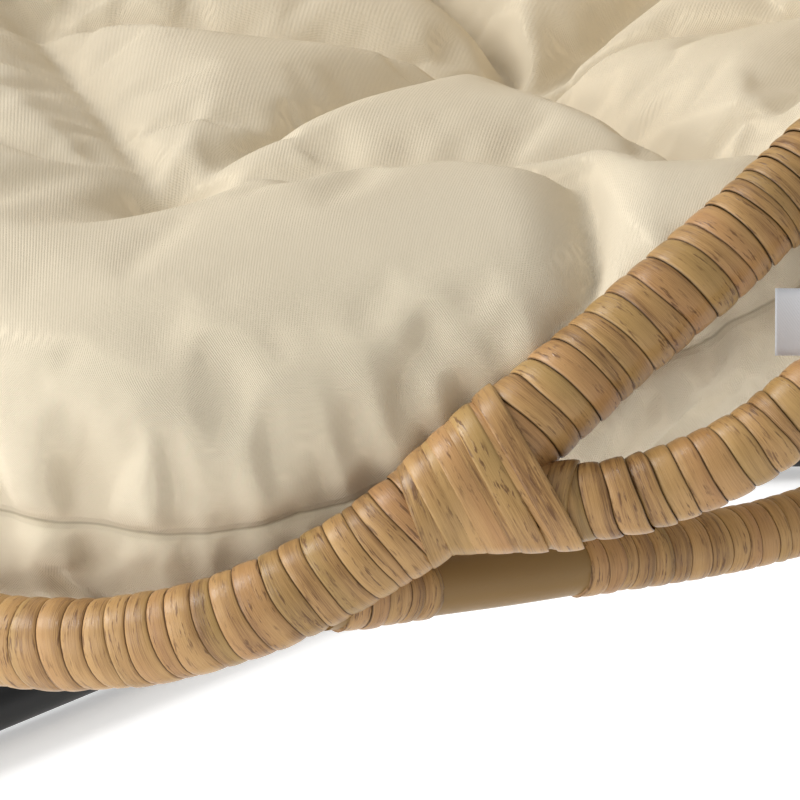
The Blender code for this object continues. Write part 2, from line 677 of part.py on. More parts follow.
def slats(rim_cut, ring_cut):
    """Seat slats from the front of the rim to the back of the seat ring. Returns a cutter
    for each."""
    front = {0.0: (-0.390, 0.345), 0.070: (-0.3835, 0.3495), 0.140: (-0.361, 0.367)}
    back = {0.0: (0.220, 0.406), 0.070: (0.2135, 0.4048), 0.140: (0.1935, 0.4020)}
    cutters = []
    for number, x in enumerate(SLAT_XS, 1):
        (y0, z0), (y1, z1) = front[abs(x)], back[abs(x)]
        points = [nested((x, y0 + (y1 - y0) * s, z0 + (z1 - z0) * s - 0.080 * s * (1 - s)))
                  for s in (k / 8 for k in range(9))]
        slat = as_mesh(tube(f"seat_slat_{number}", points, RIB_R, TAN_STEEL), TAN_STEEL)
        inside_only(trimmed(slat, [rim_cut, ring_cut]))
        cutters.append(as_mesh(tube(f"cut_slat_{number}", points, RIB_R + GAP, None, cutter=True)))
    return cutters


def crown_staple(rim_cut):
    """The U-shaped loop welded on the crown of the rim, for the lower snap hook."""
    half, wire = 0.012, 0.0040
    centre = STAPLE_TOP - half
    points = [(half, CROWN_Z + 0.006)]
    points += [(half * math.cos(a), centre + half * math.sin(a))
               for a in (math.pi * k / 10 for k in range(11))]
    points += [(-half, CROWN_Z + 0.006)]
    staple = as_mesh(tube("crown_staple", [hung((0, y, z)) for y, z in points], wire, TAN_STEEL),
                     TAN_STEEL)
    inside_only(trimmed(staple, [rim_cut]))


def wound(name, points, outer, cutters):
    """Wicker wound round a tube: a thicker tube with everything inside it cut out."""
    return inside_only(trimmed(as_mesh(tube(name, points, outer, WICKER), WICKER), cutters),
                       WICKER)


def windings(rim, belt, ring, cuts, ribs, bars, hoop_cut):
    """Hollow sleeves that stand for the wicker wound round the three main tubes."""
    right, left = ribs[2::2], ribs[1::2]
    for word, side, own_ribs in (("right", 1, right), ("left", -1, left)):
        own_bars = bars[2:] if side > 0 else bars[:3]
        for zone, start, end, extra, cutters in (
                ("front", 0.002, 0.0520, 0, own_bars + [cuts["ring"]]),
                ("joint", 0.0524, 0.1075, 0.0012, own_bars + [cuts["belt"], cuts["ring"]]),
                ("upper", 0.1079, 0.4930, 0, own_ribs + [cuts["belt"], hoop_cut])):
            part = [Vector((side * p.x, p.y, p.z)) for p in stretch(rim, start, end, closed=True)]
            wound(f"rim_winding_{zone}_{word}", part, RIM_R + WRAP_RIM + extra,
                  [cuts["rim"]] + cutters)
    wound("belt_winding", stretch(belt, 0.062, 0.938), BELT_R + WRAP_BELT, [cuts["belt"]])
    wound("seat_ring_winding", stretch(ring, 0.084, 0.916), RING_R + WRAP_RING,
          [cuts["ring"]] + ribs + bars)
    joint_cut = as_mesh(tube("cut_joint", rim, RIM_R + WRAP_RIM + 0.004, None, closed=True,
                             cutter=True))
    for word, start, end in (("right", 0.004, 0.034), ("left", 0.966, 0.996)):
        wound(f"ring_end_winding_{word}", stretch(ring, start, end), RING_R + WRAP_RING,
              [cuts["ring"], joint_cut])


# --------------------------------------------------------------------------- cushion
def cushion_section(station, ahead, behind):
    """One closed cross-section of the cushion, from its left edge over the inside to
    the right edge and back round the outside."""
    y, z, half, rise, thick = station
    along = Vector((0, ahead[0] - behind[0], ahead[1] - behind[1])).normalized()
    inward = Vector((0, -along.z, along.y))
    count = 12
    inner, outer = [], []
    for k in range(count + 1):
        u = -math.cos(math.pi * k / count)
        base = Vector((half * u, y, z)) + inward * (rise * abs(u) ** 2.6)
        swell = max(0.0, 1 - abs(u) ** 3.2) ** 0.5
        outer.append(base)
        inner.append(base + inward * thick * swell)
    return inner[:-1] + outer[:0:-1]


def cushion():
    """A nest-shaped pad: seat and back in one, lofted through its stations."""
    fine = []
    for a, b in zip(CUSHION, CUSHION[1:]):
        fine.append(a)
    fine.append(CUSHION[-1])
    rows = []
    for i, station in enumerate(fine):
        behind = fine[max(0, i - 1)]
        ahead = fine[min(len(fine) - 1, i + 1)]
        rows.append([nested(p) for p in cushion_section(station, ahead, behind)])
    bm = bmesh.new()
    grid = [[bm.verts.new(p) for p in row] for row in rows]
    size = len(grid[0])
    for low, high in zip(grid, grid[1:]):
        for k in range(size):
            bm.faces.new((low[k], low[(k + 1) % size], high[(k + 1) % size], high[k]))
    bm.faces.new(reversed(grid[0]))
    bm.faces.new(grid[-1])
    bmesh.ops.recalc_face_normals(bm, faces=bm.faces)
    return mesh_object("cushion", bm, FABRIC)


def care_label():
    """The folded label sewn in the cushion's right side seam."""
    bm = bmesh.new()
    place = Matrix.Translation(nested((0.300, -0.110, 0.500)))
    bmesh.ops.create_cube(bm, size=1, matrix=place @ Matrix.Diagonal((0.0012, 0.013, 0.024, 1)))
    return mesh_object("care_label", bm, LABEL)


clear_scene()
CHAIR = new_collection("hanging_egg_chair")
CUTTERS = new_collection("cutters")
CUTTERS.hide_render = True
base_frame()
couplers()
arm_fittings(pole())
feet()
snap_hooks()
drawbar_spring()
basket()
cushion()
care_label()
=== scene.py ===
import math

import bpy
import bmesh
import numpy as np
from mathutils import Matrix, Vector


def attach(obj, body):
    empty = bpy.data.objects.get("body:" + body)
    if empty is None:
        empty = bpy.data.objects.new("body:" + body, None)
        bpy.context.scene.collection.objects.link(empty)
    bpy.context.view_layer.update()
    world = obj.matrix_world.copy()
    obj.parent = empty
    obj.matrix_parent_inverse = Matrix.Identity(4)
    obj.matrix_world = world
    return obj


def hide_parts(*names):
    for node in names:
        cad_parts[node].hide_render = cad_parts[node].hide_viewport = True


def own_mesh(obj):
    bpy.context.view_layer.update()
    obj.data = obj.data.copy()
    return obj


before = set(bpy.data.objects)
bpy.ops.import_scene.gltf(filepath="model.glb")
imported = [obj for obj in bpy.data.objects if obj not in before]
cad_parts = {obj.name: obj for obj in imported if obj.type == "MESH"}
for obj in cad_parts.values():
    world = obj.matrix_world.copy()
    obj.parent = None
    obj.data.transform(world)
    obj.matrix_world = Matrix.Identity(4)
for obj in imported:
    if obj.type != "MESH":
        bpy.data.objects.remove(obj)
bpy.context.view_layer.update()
print("frame loaded")

hangY = -0.199235  # the hanging line, where the hardware is
basketY = hangY - 0.048  # the basket's own zero, ahead of it


# lines and swept shapes

def smoothLine(points, closed=False, step=0.004):
    # a smooth curve through the points, walked again in equal steps
    pts = np.array(points, float)
    if closed:
        a, b, c, d = (np.roll(pts, shift, axis=0) for shift in (1, 0, -1, -2))
    else:
        ends = np.vstack([2 * pts[0] - pts[1], pts, 2 * pts[-1] - pts[-2]])
        a, b, c, d = ends[:-3], ends[1:-2], ends[2:-1], ends[3:]
    t = np.linspace(0, 1, 24, endpoint=False)[None, :, None]
    a, b, c, d = (m[:, None, :] for m in (a, b, c, d))
    fine = 0.5 * (2 * b + (c - a) * t + (2 * a - 5 * b + 4 * c - d) * t ** 2
                  + (3 * b - a - 3 * c + d) * t ** 3)
    fine = fine.reshape(-1, 3)
    fine = np.vstack([fine, fine[:1] if closed else pts[-1:]])
    runs = runsOf(fine)
    count = max(2, round(runs[-1] / step))
    want = np.linspace(0, runs[-1], count + 1)
    return np.column_stack([np.interp(want, runs, fine[:, k]) for k in range(3)])


def runsOf(line):
    # how far along the line each of its points lies
    return np.concatenate([[0], np.cumsum(np.linalg.norm(np.diff(line, axis=0), axis=1))])


def unit(v):
    return v / np.maximum(np.linalg.norm(v, axis=-1, keepdims=True), 1e-12)


class Track:
    # a line with its run length and a frame that never twists, read at any distance along it
    def __init__(self, line, side=(0, 0, 1)):
        self.line = line
        self.along = unit(np.gradient(line, axis=0))
        self.runs = runsOf(line)
        self.length = self.runs[-1]
        across = [unit(np.cross(self.along[0], np.array(side, float)))]
        for t in self.along[1:]:
            last = across[-1]
            across.append(unit(last - t * np.dot(last, t)))
        self.across = np.array(across)

    def at(self, s):
        s = np.clip(s, 0, self.length)
        read = lambda table: np.stack([np.interp(s, self.runs, table[:, k]) for k in range(3)], -1)
        along, across = unit(read(self.along)), unit(read(self.across))
        return read(self.line), along, across, np.cross(along, across)


def basketLine(points, mirror=True):
    pts = [(x, y + basketY, z) for x, y, z in points]
    if mirror:
        pts += [(-x, y, z) for x, y, z in reversed(pts[:-1])]
    return pts


def meshPiece(name, verts, faces, material, body, nodes=(), uvs=None, smooth=True):
    mesh = bpy.data.meshes.new(name)
    verts, faces = np.asarray(verts, np.float32), np.asarray(faces, np.int32)
    mesh.from_pydata(verts.tolist(), [], faces.tolist())
    if uvs is not None:
        layer = mesh.uv_layers.new(name="grain")
        layer.data.foreach_set("uv", np.asarray(uvs, np.float32)[faces.reshape(-1)].reshape(-1))
    if smooth:
        mesh.shade_smooth()
    mesh.materials.append(material)
    return place(name, mesh, body, nodes)


def newObject(name, data):
    made = bpy.data.objects.new(name, data)
    bpy.context.scene.collection.objects.link(made)
    return made


def place(name, data, body, nodes=()):
    piece = newObject(name, data)
    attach(piece, body)
    if nodes:
        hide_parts(*nodes)
    return piece


def gridFaces(rows, columns, loop=False):
    i, j = np.meshgrid(np.arange(rows - 1), np.arange(columns if loop else columns - 1), indexing="ij")
    k = (j + 1) % columns
    quads = np.stack([i * columns + j, i * columns + k, (i + 1) * columns + k, (i + 1) * columns + j], -1)
    return quads.reshape(-1, 4)


def roundTube(name, line, radius, material, body, nodes=(), sides=32, closed=False):
    # a smooth round tube; its ends are closed by a domed row
    track = Track(line)
    s = track.runs
    centre, _, across, up = track.at(s)
    turn = np.linspace(0, 2 * np.pi, sides, endpoint=False)
    ring = across[:, None] * np.cos(turn)[None, :, None] + up[:, None] * np.sin(turn)[None, :, None]
    radii = np.full(len(s), radius)
    if not closed:
        centre = np.concatenate([centre[:1], centre, centre[-1:]])
        ring = np.concatenate([ring[:1], ring, ring[-1:]])
        radii = np.concatenate([[radius * 0.02], radii, [radius * 0.02]])
    verts = (centre[:, None] + ring * radii[:, None, None]).reshape(-1, 3)
    u = np.concatenate([[0], s, [s[-1]]]) if not closed else s
    uvs = np.stack(np.broadcast_arrays(u[:, None], (turn * radius)[None, :]), -1).reshape(-1, 2)
    faces = gridFaces(len(radii), sides, loop=True)
    piece = meshPiece(name, verts, faces[:, ::-1], material, body, nodes, uvs)
    piece.data.set_sharp_from_angle(angle=math.radians(50))
    return piece


# materials

def newMaterial(name):
    material = bpy.data.materials.new(name)
    material.use_nodes = True
    tree = material.node_tree
    return material, tree, tree.nodes["Principled BSDF"]


def addNode(tree, kind, inputs=None, **settings):
    node = tree.nodes.new(kind)
    for key, value in settings.items():
        setattr(node, key, value)
    for key, value in (inputs or {}).items():
        if isinstance(value, bpy.types.NodeSocket):
            tree.links.new(value, node.inputs[key])
        else:
            node.inputs[key].default_value = value
    return node


def mathNode(tree, operation, a, b=0.0, clamp=False):
    node = addNode(tree, "ShaderNodeMath", {0: a, 1: b}, operation=operation)
    node.use_clamp = clamp
    return node.outputs[0]


def ramp(tree, factor, stops, smooth=False):
    node = addNode(tree, "ShaderNodeValToRGB", {"Fac": factor})
    node.color_ramp.interpolation = "EASE" if smooth else "LINEAR"
    marks = node.color_ramp.elements
    while len(marks) < len(stops):
        marks.new(0.5)
    for mark, (spot, colour) in zip(marks, stops):
        mark.position = spot
        mark.color = (*colour, 1) if len(colour) == 3 else colour
    return node.outputs["Color"]


def mask(tree, factor, low, high, flip=False):
    # black up to low and white from high, or the other way round
    ends = [(0, 0, 0), (1, 1, 1)]
    return ramp(tree, factor, list(zip((low, high), ends[::-1] if flip else ends)))


def mixColour(tree, factor, a, b, blend="MIX"):
    node = addNode(tree, "ShaderNodeMix", {"Factor": factor}, data_type="RGBA", blend_type=blend)
    for key, value in ((6, a), (7, b)):
        if isinstance(value, bpy.types.NodeSocket):
            tree.links.new(value, node.inputs[key])
        else:
            node.inputs[key].default_value = (*value, 1)
    return node.outputs[2]


def noiseOf(tree, vector, scale, detail=3.0, roughness=0.5):
    node = addNode(tree, "ShaderNodeTexNoise", {"Vector": vector, "Scale": scale, "Detail": detail,
                                                "Roughness": roughness})
    return node.outputs["Fac"]


def setBump(tree, shader, height, strength, distance):
    bump = addNode(tree, "ShaderNodeBump", {"Height": height, "Strength": strength, "Distance": distance})
    tree.links.new(bump.outputs["Normal"], shader.inputs["Normal"])


def stretched(tree, vector, scale, location=(0, 0, 0)):
    node = addNode(tree, "ShaderNodeMapping", {"Vector": vector, "Scale": scale, "Location": location})
    return node.outputs["Vector"]


wicker = {
    "light": (0.495, 0.290, 0.106),
    "middle": (0.385, 0.211, 0.072),
    "deep": (0.215, 0.107, 0.035),
    "dash": (0.120, 0.046, 0.012),
    # painted shade: the dark of the shaded gaps between turns
    "seam": (0.060, 0.026, 0.009),
    "rosy": (0.470, 0.232, 0.092),
    "olive": (0.360, 0.240, 0.070),
    "roughness": (0.27, 0.46),
    "bump": 0.00032,
    "noises": {  # scale along and across the strand, shift, detail and roughness
        "fine": ((70, 22, 1), (0, 0, 0), 5.0, 0.62),
        "broad": ((16, 3.2, 1), (3.1, 0, 0), 3.0, 0.55),
        "perTurn": ((9, 0.4, 1), (7.7, 2, 0), 2.0, 0.5),
        "dashes": ((95, 7, 1), (1.3, 5, 0), 3.0, 0.65),
        "sparse": ((24, 1.5, 1), (5.5, 9, 0), 1.0, 0.5),
        "tint": ((6, 0.3, 1), (2.2, 6, 0), 1.0, 0.5),
        "lines": ((45, 30, 1), (0.4, 1, 0), 4.0, 0.6),
    },
}


def wickerMaterial():
    material, tree, shader = newMaterial("wickerStrand")
    times = lambda a, b: mathNode(tree, "MULTIPLY", a, b)
    uv = addNode(tree, "ShaderNodeUVMap", uv_map="grain").outputs["UV"]
    split = addNode(tree, "ShaderNodeSeparateXYZ", {"Vector": uv})
    across = split.outputs["Y"]  # 0 at one edge of the strand, 1 at the other
    noise = {key: noiseOf(tree, stretched(tree, uv, scale, shift), 1.0, detail, roughness)
             for key, (scale, shift, detail, roughness) in wicker["noises"].items()}
    grain = mathNode(tree, "ADD", times(noise["fine"], 0.55), times(noise["broad"], 0.45))
    grain = mathNode(tree, "ADD", grain, times(mathNode(tree, "SUBTRACT", noise["perTurn"], 0.5), 0.75))
    base = ramp(tree, grain, [(0.34, wicker["deep"]), (0.46, wicker["middle"]), (0.59, wicker["light"])])
    rosy = mask(tree, noise["tint"], 0.52, 0.66)
    olive = mask(tree, noise["tint"], 0.34, 0.48, flip=True)
    base = mixColour(tree, times(rosy, 0.45), base, wicker["rosy"])
    base = mixColour(tree, times(olive, 0.45), base, wicker["olive"])
    mark = times(mask(tree, noise["dashes"], 0.55, 0.63), mask(tree, noise["sparse"], 0.40, 0.54))
    base = mixColour(tree, times(mark, 0.80), base, wicker["dash"])
    # painted shade: each strand darkens towards both edges, where the gaps between turns lie in shade
    edge = mathNode(tree, "ABSOLUTE", mathNode(tree, "SUBTRACT", times(across, 2.0), 1.0))
    base = mixColour(tree, times(mask(tree, edge, 0.90, 0.99), 0.80), base, wicker["seam"])
    tree.links.new(base, shader.inputs["Base Color"])
    low, high = wicker["roughness"]
    gloss = addNode(tree, "ShaderNodeMapRange", {"Value": noise["fine"], "From Min": 0.3, "From Max": 0.7,
                                                 "To Min": low, "To Max": high})
    tree.links.new(gloss.outputs["Result"], shader.inputs["Roughness"])
    height = mathNode(tree, "SUBTRACT", noise["lines"], times(mark, 0.5))
    setBump(tree, shader, height, 0.55, wicker["bump"])
    shader.inputs["Specular IOR Level"].default_value = 0.5
    return material


def paintMaterial(name, colour, darker, roughness, scale, depth, metallic=0.0):
    # powder coat or plating: a fine orange-peel surface with slight colour and gloss changes
    material, tree, shader = newMaterial(name)
    where = addNode(tree, "ShaderNodeTexCoord").outputs["Object"]
    peel = noiseOf(tree, where, scale, 3.0, 0.6)
    broad = noiseOf(tree, where, 9.0, 3.0, 0.6)
    tree.links.new(mixColour(tree, broad, colour, darker), shader.inputs["Base Color"])
    gloss = addNode(tree, "ShaderNodeMapRange", {"Value": broad, "From Min": 0.3, "From Max": 0.7,
                                                 "To Min": roughness * 0.85, "To Max": roughness * 1.15})
    tree.links.new(gloss.outputs["Result"], shader.inputs["Roughness"])
    setBump(tree, shader, peel, 0.35, depth)
    shader.inputs["Metallic"].default_value = metallic
    shader.inputs["Specular IOR Level"].default_value = 0.35
    return material


wickerStrand = wickerMaterial()
tanCoat = paintMaterial("tanCoat", (0.285, 0.172, 0.058), (0.246, 0.144, 0.046), 0.40, 900, 0.0002)
blackCoat = paintMaterial("blackCoat", (0.0022, 0.0022, 0.0023), (0.0034, 0.0034, 0.0036), 0.42,
                          1100, 0.0002)
zincPlate = paintMaterial("zincPlate", (0.62, 0.62, 0.63), (0.50, 0.51, 0.53), 0.26, 700, 0.0001,
                          metallic=1.0)
blackPlastic = paintMaterial("blackPlastic", (0.022, 0.022, 0.023), (0.030, 0.030, 0.031), 0.55,
                             1400, 0.0002)
springBlack = paintMaterial("springBlack", (0.014, 0.014, 0.015), (0.022, 0.022, 0.022), 0.34, 800, 0.0001)
print("materials made")


# the basket's tubes

rim = {
    "radius": 0.016,
    "half": [
        (0.000, -0.390, 0.345), (0.055, -0.386, 0.348), (0.101, -0.376, 0.355), (0.140, -0.361, 0.367),
        (0.172, -0.339, 0.384), (0.199, -0.311, 0.407), (0.221, -0.277, 0.437), (0.245, -0.227, 0.476),
        (0.271, -0.165, 0.521), (0.304, -0.080, 0.588), (0.333, -0.010, 0.668), (0.352, 0.030, 0.765),
        (0.358, 0.051, 0.875), (0.346, 0.055, 0.995), (0.314, 0.055, 1.112), (0.260, 0.053, 1.228),
        (0.186, 0.051, 1.330), (0.098, 0.049, 1.404), (0.000, 0.048, 1.4698),
    ],
}
belt = {
    "radius": 0.013,
    "half": [
        (0.205, -0.300, 0.413), (0.247, -0.273, 0.418), (0.274, -0.251, 0.424), (0.300, -0.223, 0.440),
        (0.322, -0.189, 0.468), (0.355, -0.120, 0.510), (0.387, -0.040, 0.565), (0.402, 0.050, 0.622),
        (0.390, 0.145, 0.674), (0.340, 0.235, 0.716), (0.245, 0.305, 0.746), (0.125, 0.345, 0.763),
        (0.000, 0.356, 0.768),
    ],
}
seatRing = {
    "radius": 0.0125,
    "half": [
        (0.178, -0.333, 0.380), (0.188, -0.290, 0.375), (0.199, -0.245, 0.370), (0.212, -0.197, 0.366),
        (0.227, -0.152, 0.363), (0.243, -0.108, 0.364), (0.258, -0.055, 0.371), (0.264, 0.015, 0.380),
        (0.250, 0.088, 0.389), (0.205, 0.152, 0.397), (0.125, 0.200, 0.403), (0.000, 0.220, 0.406),
    ],
}
backHoop = {
    "half": [
        (0.338, 0.060, 1.030), (0.315, 0.150, 1.050), (0.240, 0.235, 1.065), (0.125, 0.285, 1.075),
        (0.000, 0.300, 1.080),
    ],
}
ribs = {
    "radius": 0.008,
    "lines": [
        [(0.000, 0.220, 0.406), (0.000, 0.297, 0.560), (0.000, 0.3310, 0.768), (0.000, 0.327, 0.930),
         (0.000, 0.2815, 1.080), (0.000, 0.183, 1.290), (0.000, 0.076, 1.425), (0.000, 0.049, 1.459)],
        [(0.105, 0.206, 0.404), (0.120, 0.285, 0.560), (0.124, 0.3196, 0.763), (0.125, 0.313, 0.930),
         (0.122, 0.2660, 1.075), (0.112, 0.175, 1.260), (0.096, 0.074, 1.388), (0.092, 0.051, 1.409)],
        [(0.188, 0.168, 0.399), (0.222, 0.235, 0.560), (0.232, 0.2836, 0.746), (0.234, 0.274, 0.920),
         (0.229, 0.2230, 1.062), (0.211, 0.142, 1.215), (0.186, 0.072, 1.314), (0.181, 0.056, 1.330)],
        [(0.240, 0.108, 0.391), (0.291, 0.165, 0.550), (0.321, 0.2186, 0.716), (0.325, 0.200, 0.900),
         (0.299, 0.1450, 1.048), (0.282, 0.106, 1.150), (0.258, 0.076, 1.216), (0.252, 0.060, 1.236)],
    ],
}
slats = {
    "spots": (-0.140, -0.070, 0.0, 0.070, 0.140),
    "front": {0.0: (-0.390, 0.345), 0.070: (-0.3835, 0.3495), 0.140: (-0.361, 0.367)},
    "back": {0.0: (0.220, 0.406), 0.070: (0.2135, 0.4048), 0.140: (0.1935, 0.4020)},
    "sag": 0.080,
}


def rimTrack():
    # starts at the crown, runs down the right side, round the front and up the left side
    half = basketLine(rim["half"], mirror=False)
    right = half[::-1]
    left = [(-x, y, z) for x, y, z in half[1:-1]]
    return Track(smoothLine(right + left, closed=True, step=0.002), side=(0, 1, 0))


def bareTubes():
    ringLine = smoothLine(basketLine(seatRing["half"]), step=0.006)
    roundTube("seatRingTube", ringLine, seatRing["radius"], tanCoat, "basket", ["seat_ring_tube"])
    hoopLine = smoothLine(basketLine(backHoop["half"]), step=0.010)
    roundTube("backHoopTube", hoopLine, ribs["radius"], tanCoat, "basket", ["back_hoop"], sides=20)
    for i, points in enumerate(ribs["lines"]):
        for side, word in ((-1, "left"), (1, "right")):
            if i == 0 and side > 0:
                continue
            node = f"back_rib_{word}_{i}" if i else "back_rib_middle"
            name = f"backRib{word.title()}{i}" if i else "backRibMiddle"
            line = smoothLine(basketLine([(side * x, y, z) for x, y, z in points], mirror=False), step=0.010)
            roundTube(name, line, ribs["radius"], tanCoat, "basket", [node], sides=20)
    for number, x in enumerate(slats["spots"], 1):
        (y0, z0), (y1, z1) = slats["front"][abs(x)], slats["back"][abs(x)]
        share = np.linspace(0, 1, 9)
        sag = slats["sag"] * share * (1 - share)
        points = [(x, y0 + (y1 - y0) * s, z0 + (z1 - z0) * s - drop) for s, drop in zip(share, sag)]
        line = smoothLine(basketLine(points, mirror=False), step=0.012)
        roundTube(f"seatSlat{number}", line, ribs["radius"], tanCoat, "basket", [f"seat_slat_{number}"],
                  sides=20)


bareTubes()
print("basket tubes made")


# the wicker strands, each one a long ribbon wound in a helix

winding = {
    "pitch": 0.0102,
    "crown": 0.0007,  # how far the middle of a strand stands over its edges
    "perTurn": 30,
    "wobble": 0.0008,
    "narrowShare": 0.24,
    "narrow": 0.52,  # width of a narrow turn beside a whole one
    "uneven": 0.10,
    "lift": 0.00016,
    "tilt": (0.00020, 0.00022),  # mean and spread of the way each turn rides up on the last
    "shares": (0.0, 0.035, 0.12, 0.28, 0.5, 0.72, 0.88, 0.965, 1.0),  # rows from edge to edge
    "joint": 0.083,  # share of the rim's run from the front to where the belt leaves it
    "swell": (0.0012, 0.055),  # how much thicker the winding is there, and over what length
}


def windStrand(name, track, start, end, radius, seed, nodes, extra=None, pitch=None):
    # one strand from start to end along the track; extra(s) thickens it where it lies double
    rng = np.random.default_rng(seed)
    pitch = pitch or winding["pitch"]
    perTurn = winding["perTurn"]
    widths = []
    while sum(widths) < end - start + 4 * pitch:
        share = winding["narrow"] if rng.random() < winding["narrowShare"] else 1.0
        widths.append(pitch * share * (1 + winding["uneven"] * rng.standard_normal()))
    marks = start - pitch + np.concatenate([[0], np.cumsum(widths)])  # where the seams lie, turn by turn
    turns = np.searchsorted(marks, end) + 0.0
    theta = np.arange(0, turns, 1 / perTurn)
    count = np.arange(len(marks))
    draws = rng.standard_normal(len(theta) + perTurn * 3)
    wobble = winding["wobble"] * np.convolve(draws, np.hanning(13) / 3.0, "same")
    allTurns = np.arange(len(wobble)) / perTurn
    seam = lambda turn: np.interp(turn, count, marks) + np.interp(turn, allTurns, wobble)
    low, high = seam(theta), seam(theta + 1)
    shares = np.array(winding["shares"])
    domed = 1 - np.abs(2 * shares - 1) ** 3.4
    domed[[0, -1]] -= 0.45
    s = low[:, None] + (high - low)[:, None] * shares[None, :]
    held = np.clip(s, start, end)
    cut = np.abs(s - held)
    width = np.clip((high - low) / pitch, 0.3, 1.2)[:, None]
    wholeTurns = np.arange(0, turns + 2)
    lift = np.interp(theta, wholeTurns, rng.normal(0, winding["lift"], int(turns) + 2))[:, None]
    tilt = np.interp(theta, wholeTurns, rng.normal(*winding["tilt"], int(turns) + 2))[:, None]
    out = radius + winding["crown"] * domed[None, :] * width ** 0.6 + lift + tilt * (2 * shares[None, :] - 1)
    if extra is not None:
        out = out + extra(held)
    out = np.where(cut > 0, radius - 0.002, out)
    angle = 2 * np.pi * theta[:, None]
    centre, _, across, up = track.at(held.reshape(-1))
    shape = held.shape + (3,)
    centre, across, up = centre.reshape(shape), across.reshape(shape), up.reshape(shape)
    verts = centre + out[..., None] * (np.cos(angle)[..., None] * across + np.sin(angle)[..., None] * up)
    uvs = np.stack(np.broadcast_arrays(theta[:, None] * 2 * np.pi * radius, shares[None, :]), -1)
    faces = gridFaces(len(theta), len(shares))
    keep = (cut.reshape(-1)[faces] == 0).any(axis=1)
    meshPiece(name, verts.reshape(-1, 3), faces[keep], wickerStrand, "basket", nodes, uvs.reshape(-1, 2))


def wrapBasket():
    rimRun = rimTrack()
    full = rimRun.length
    jointAt = [full * share for share in (0.5 - winding["joint"], 0.5 + winding["joint"])]
    height, reach = winding["swell"]
    swell = lambda s: height * sum(np.exp(-((s - spot) / reach) ** 4) for spot in jointAt)
    rimNodes = [f"rim_winding_{zone}_{word}" for zone in ("front", "joint", "upper")
                for word in ("left", "right")]
    windStrand("rimStrand", rimRun, 0.006, full - 0.006, rim["radius"] + 0.0016, 3, rimNodes, extra=swell)
    beltRun = Track(smoothLine(basketLine(belt["half"]), step=0.002))
    windStrand("beltStrand", beltRun, 0.030, beltRun.length - 0.030, belt["radius"] + 0.0015, 5,
               ["belt_winding"])
    ringRun = Track(smoothLine(basketLine(seatRing["half"]), step=0.002))
    for name, low, high, seed, node in (("seatRingStrand", 0.084, 0.916, 7, "seat_ring_winding"),
                                        ("ringEndStrandRight", 0.004, 0.034, 8, "ring_end_winding_right"),
                                        ("ringEndStrandLeft", 0.966, 0.996, 9, "ring_end_winding_left")):
        windStrand(name, ringRun, ringRun.length * low, ringRun.length * high, seatRing["radius"] + 0.0006,
                   seed, [node], pitch=0.0098)
    return rimRun, beltRun


rimRun, beltRun = wrapBasket()
print("wicker wound")


# the straps round the place where the belt leaves the rim

straps = {
    "width": 0.0100,
    "first": (0.203, -0.300, 0.412),
    "last": (0.227, -0.270, 0.427),
    "count": 8,
    "spread": 5,  # degrees, how far a strap's plane leans from its neighbours'
    "height": 0.0022,
    "sides": 72,
    "rows": (-0.5, -0.465, -0.36, -0.18, 0.0, 0.18, 0.36, 0.465, 0.5),  # from edge to edge
    "rimWay": (0.41, 0.71, 0.57),  # which way the rim and the belt run there
    "beltWay": (0.84, 0.53, 0.10),
    "short": (  # the two straps round the belt alone: spot, way and height
        ((0.238, -0.278, 0.417), (0.904, 0.454, -0.204), 0.0016),
        ((0.247, -0.273, 0.418), (0.900, 0.470, -0.080), 0.0022),
    ),
}


def hullOf(points):
    # the convex outline of points in a plane
    points = sorted(map(tuple, points))
    halves = []
    for run in (points, points[::-1]):
        half = []
        for p in run:
            while len(half) > 1:
                (ax, ay), (bx, by) = half[-2], half[-1]
                if (bx - ax) * (p[1] - ay) - (by - ay) * (p[0] - ax) > 0:
                    break
                half.pop()
            half.append(p)
        halves += half[:-1]
    return np.array(halves)


def crossing(track, low, high, origin, normal):
    # where the track passes through a plane, between two of its run lengths
    s = np.linspace(low, high, 200)
    centre, along, _, _ = track.at(s)
    best = np.argmin(np.abs((centre - origin) @ normal))
    return centre[best], along[best]


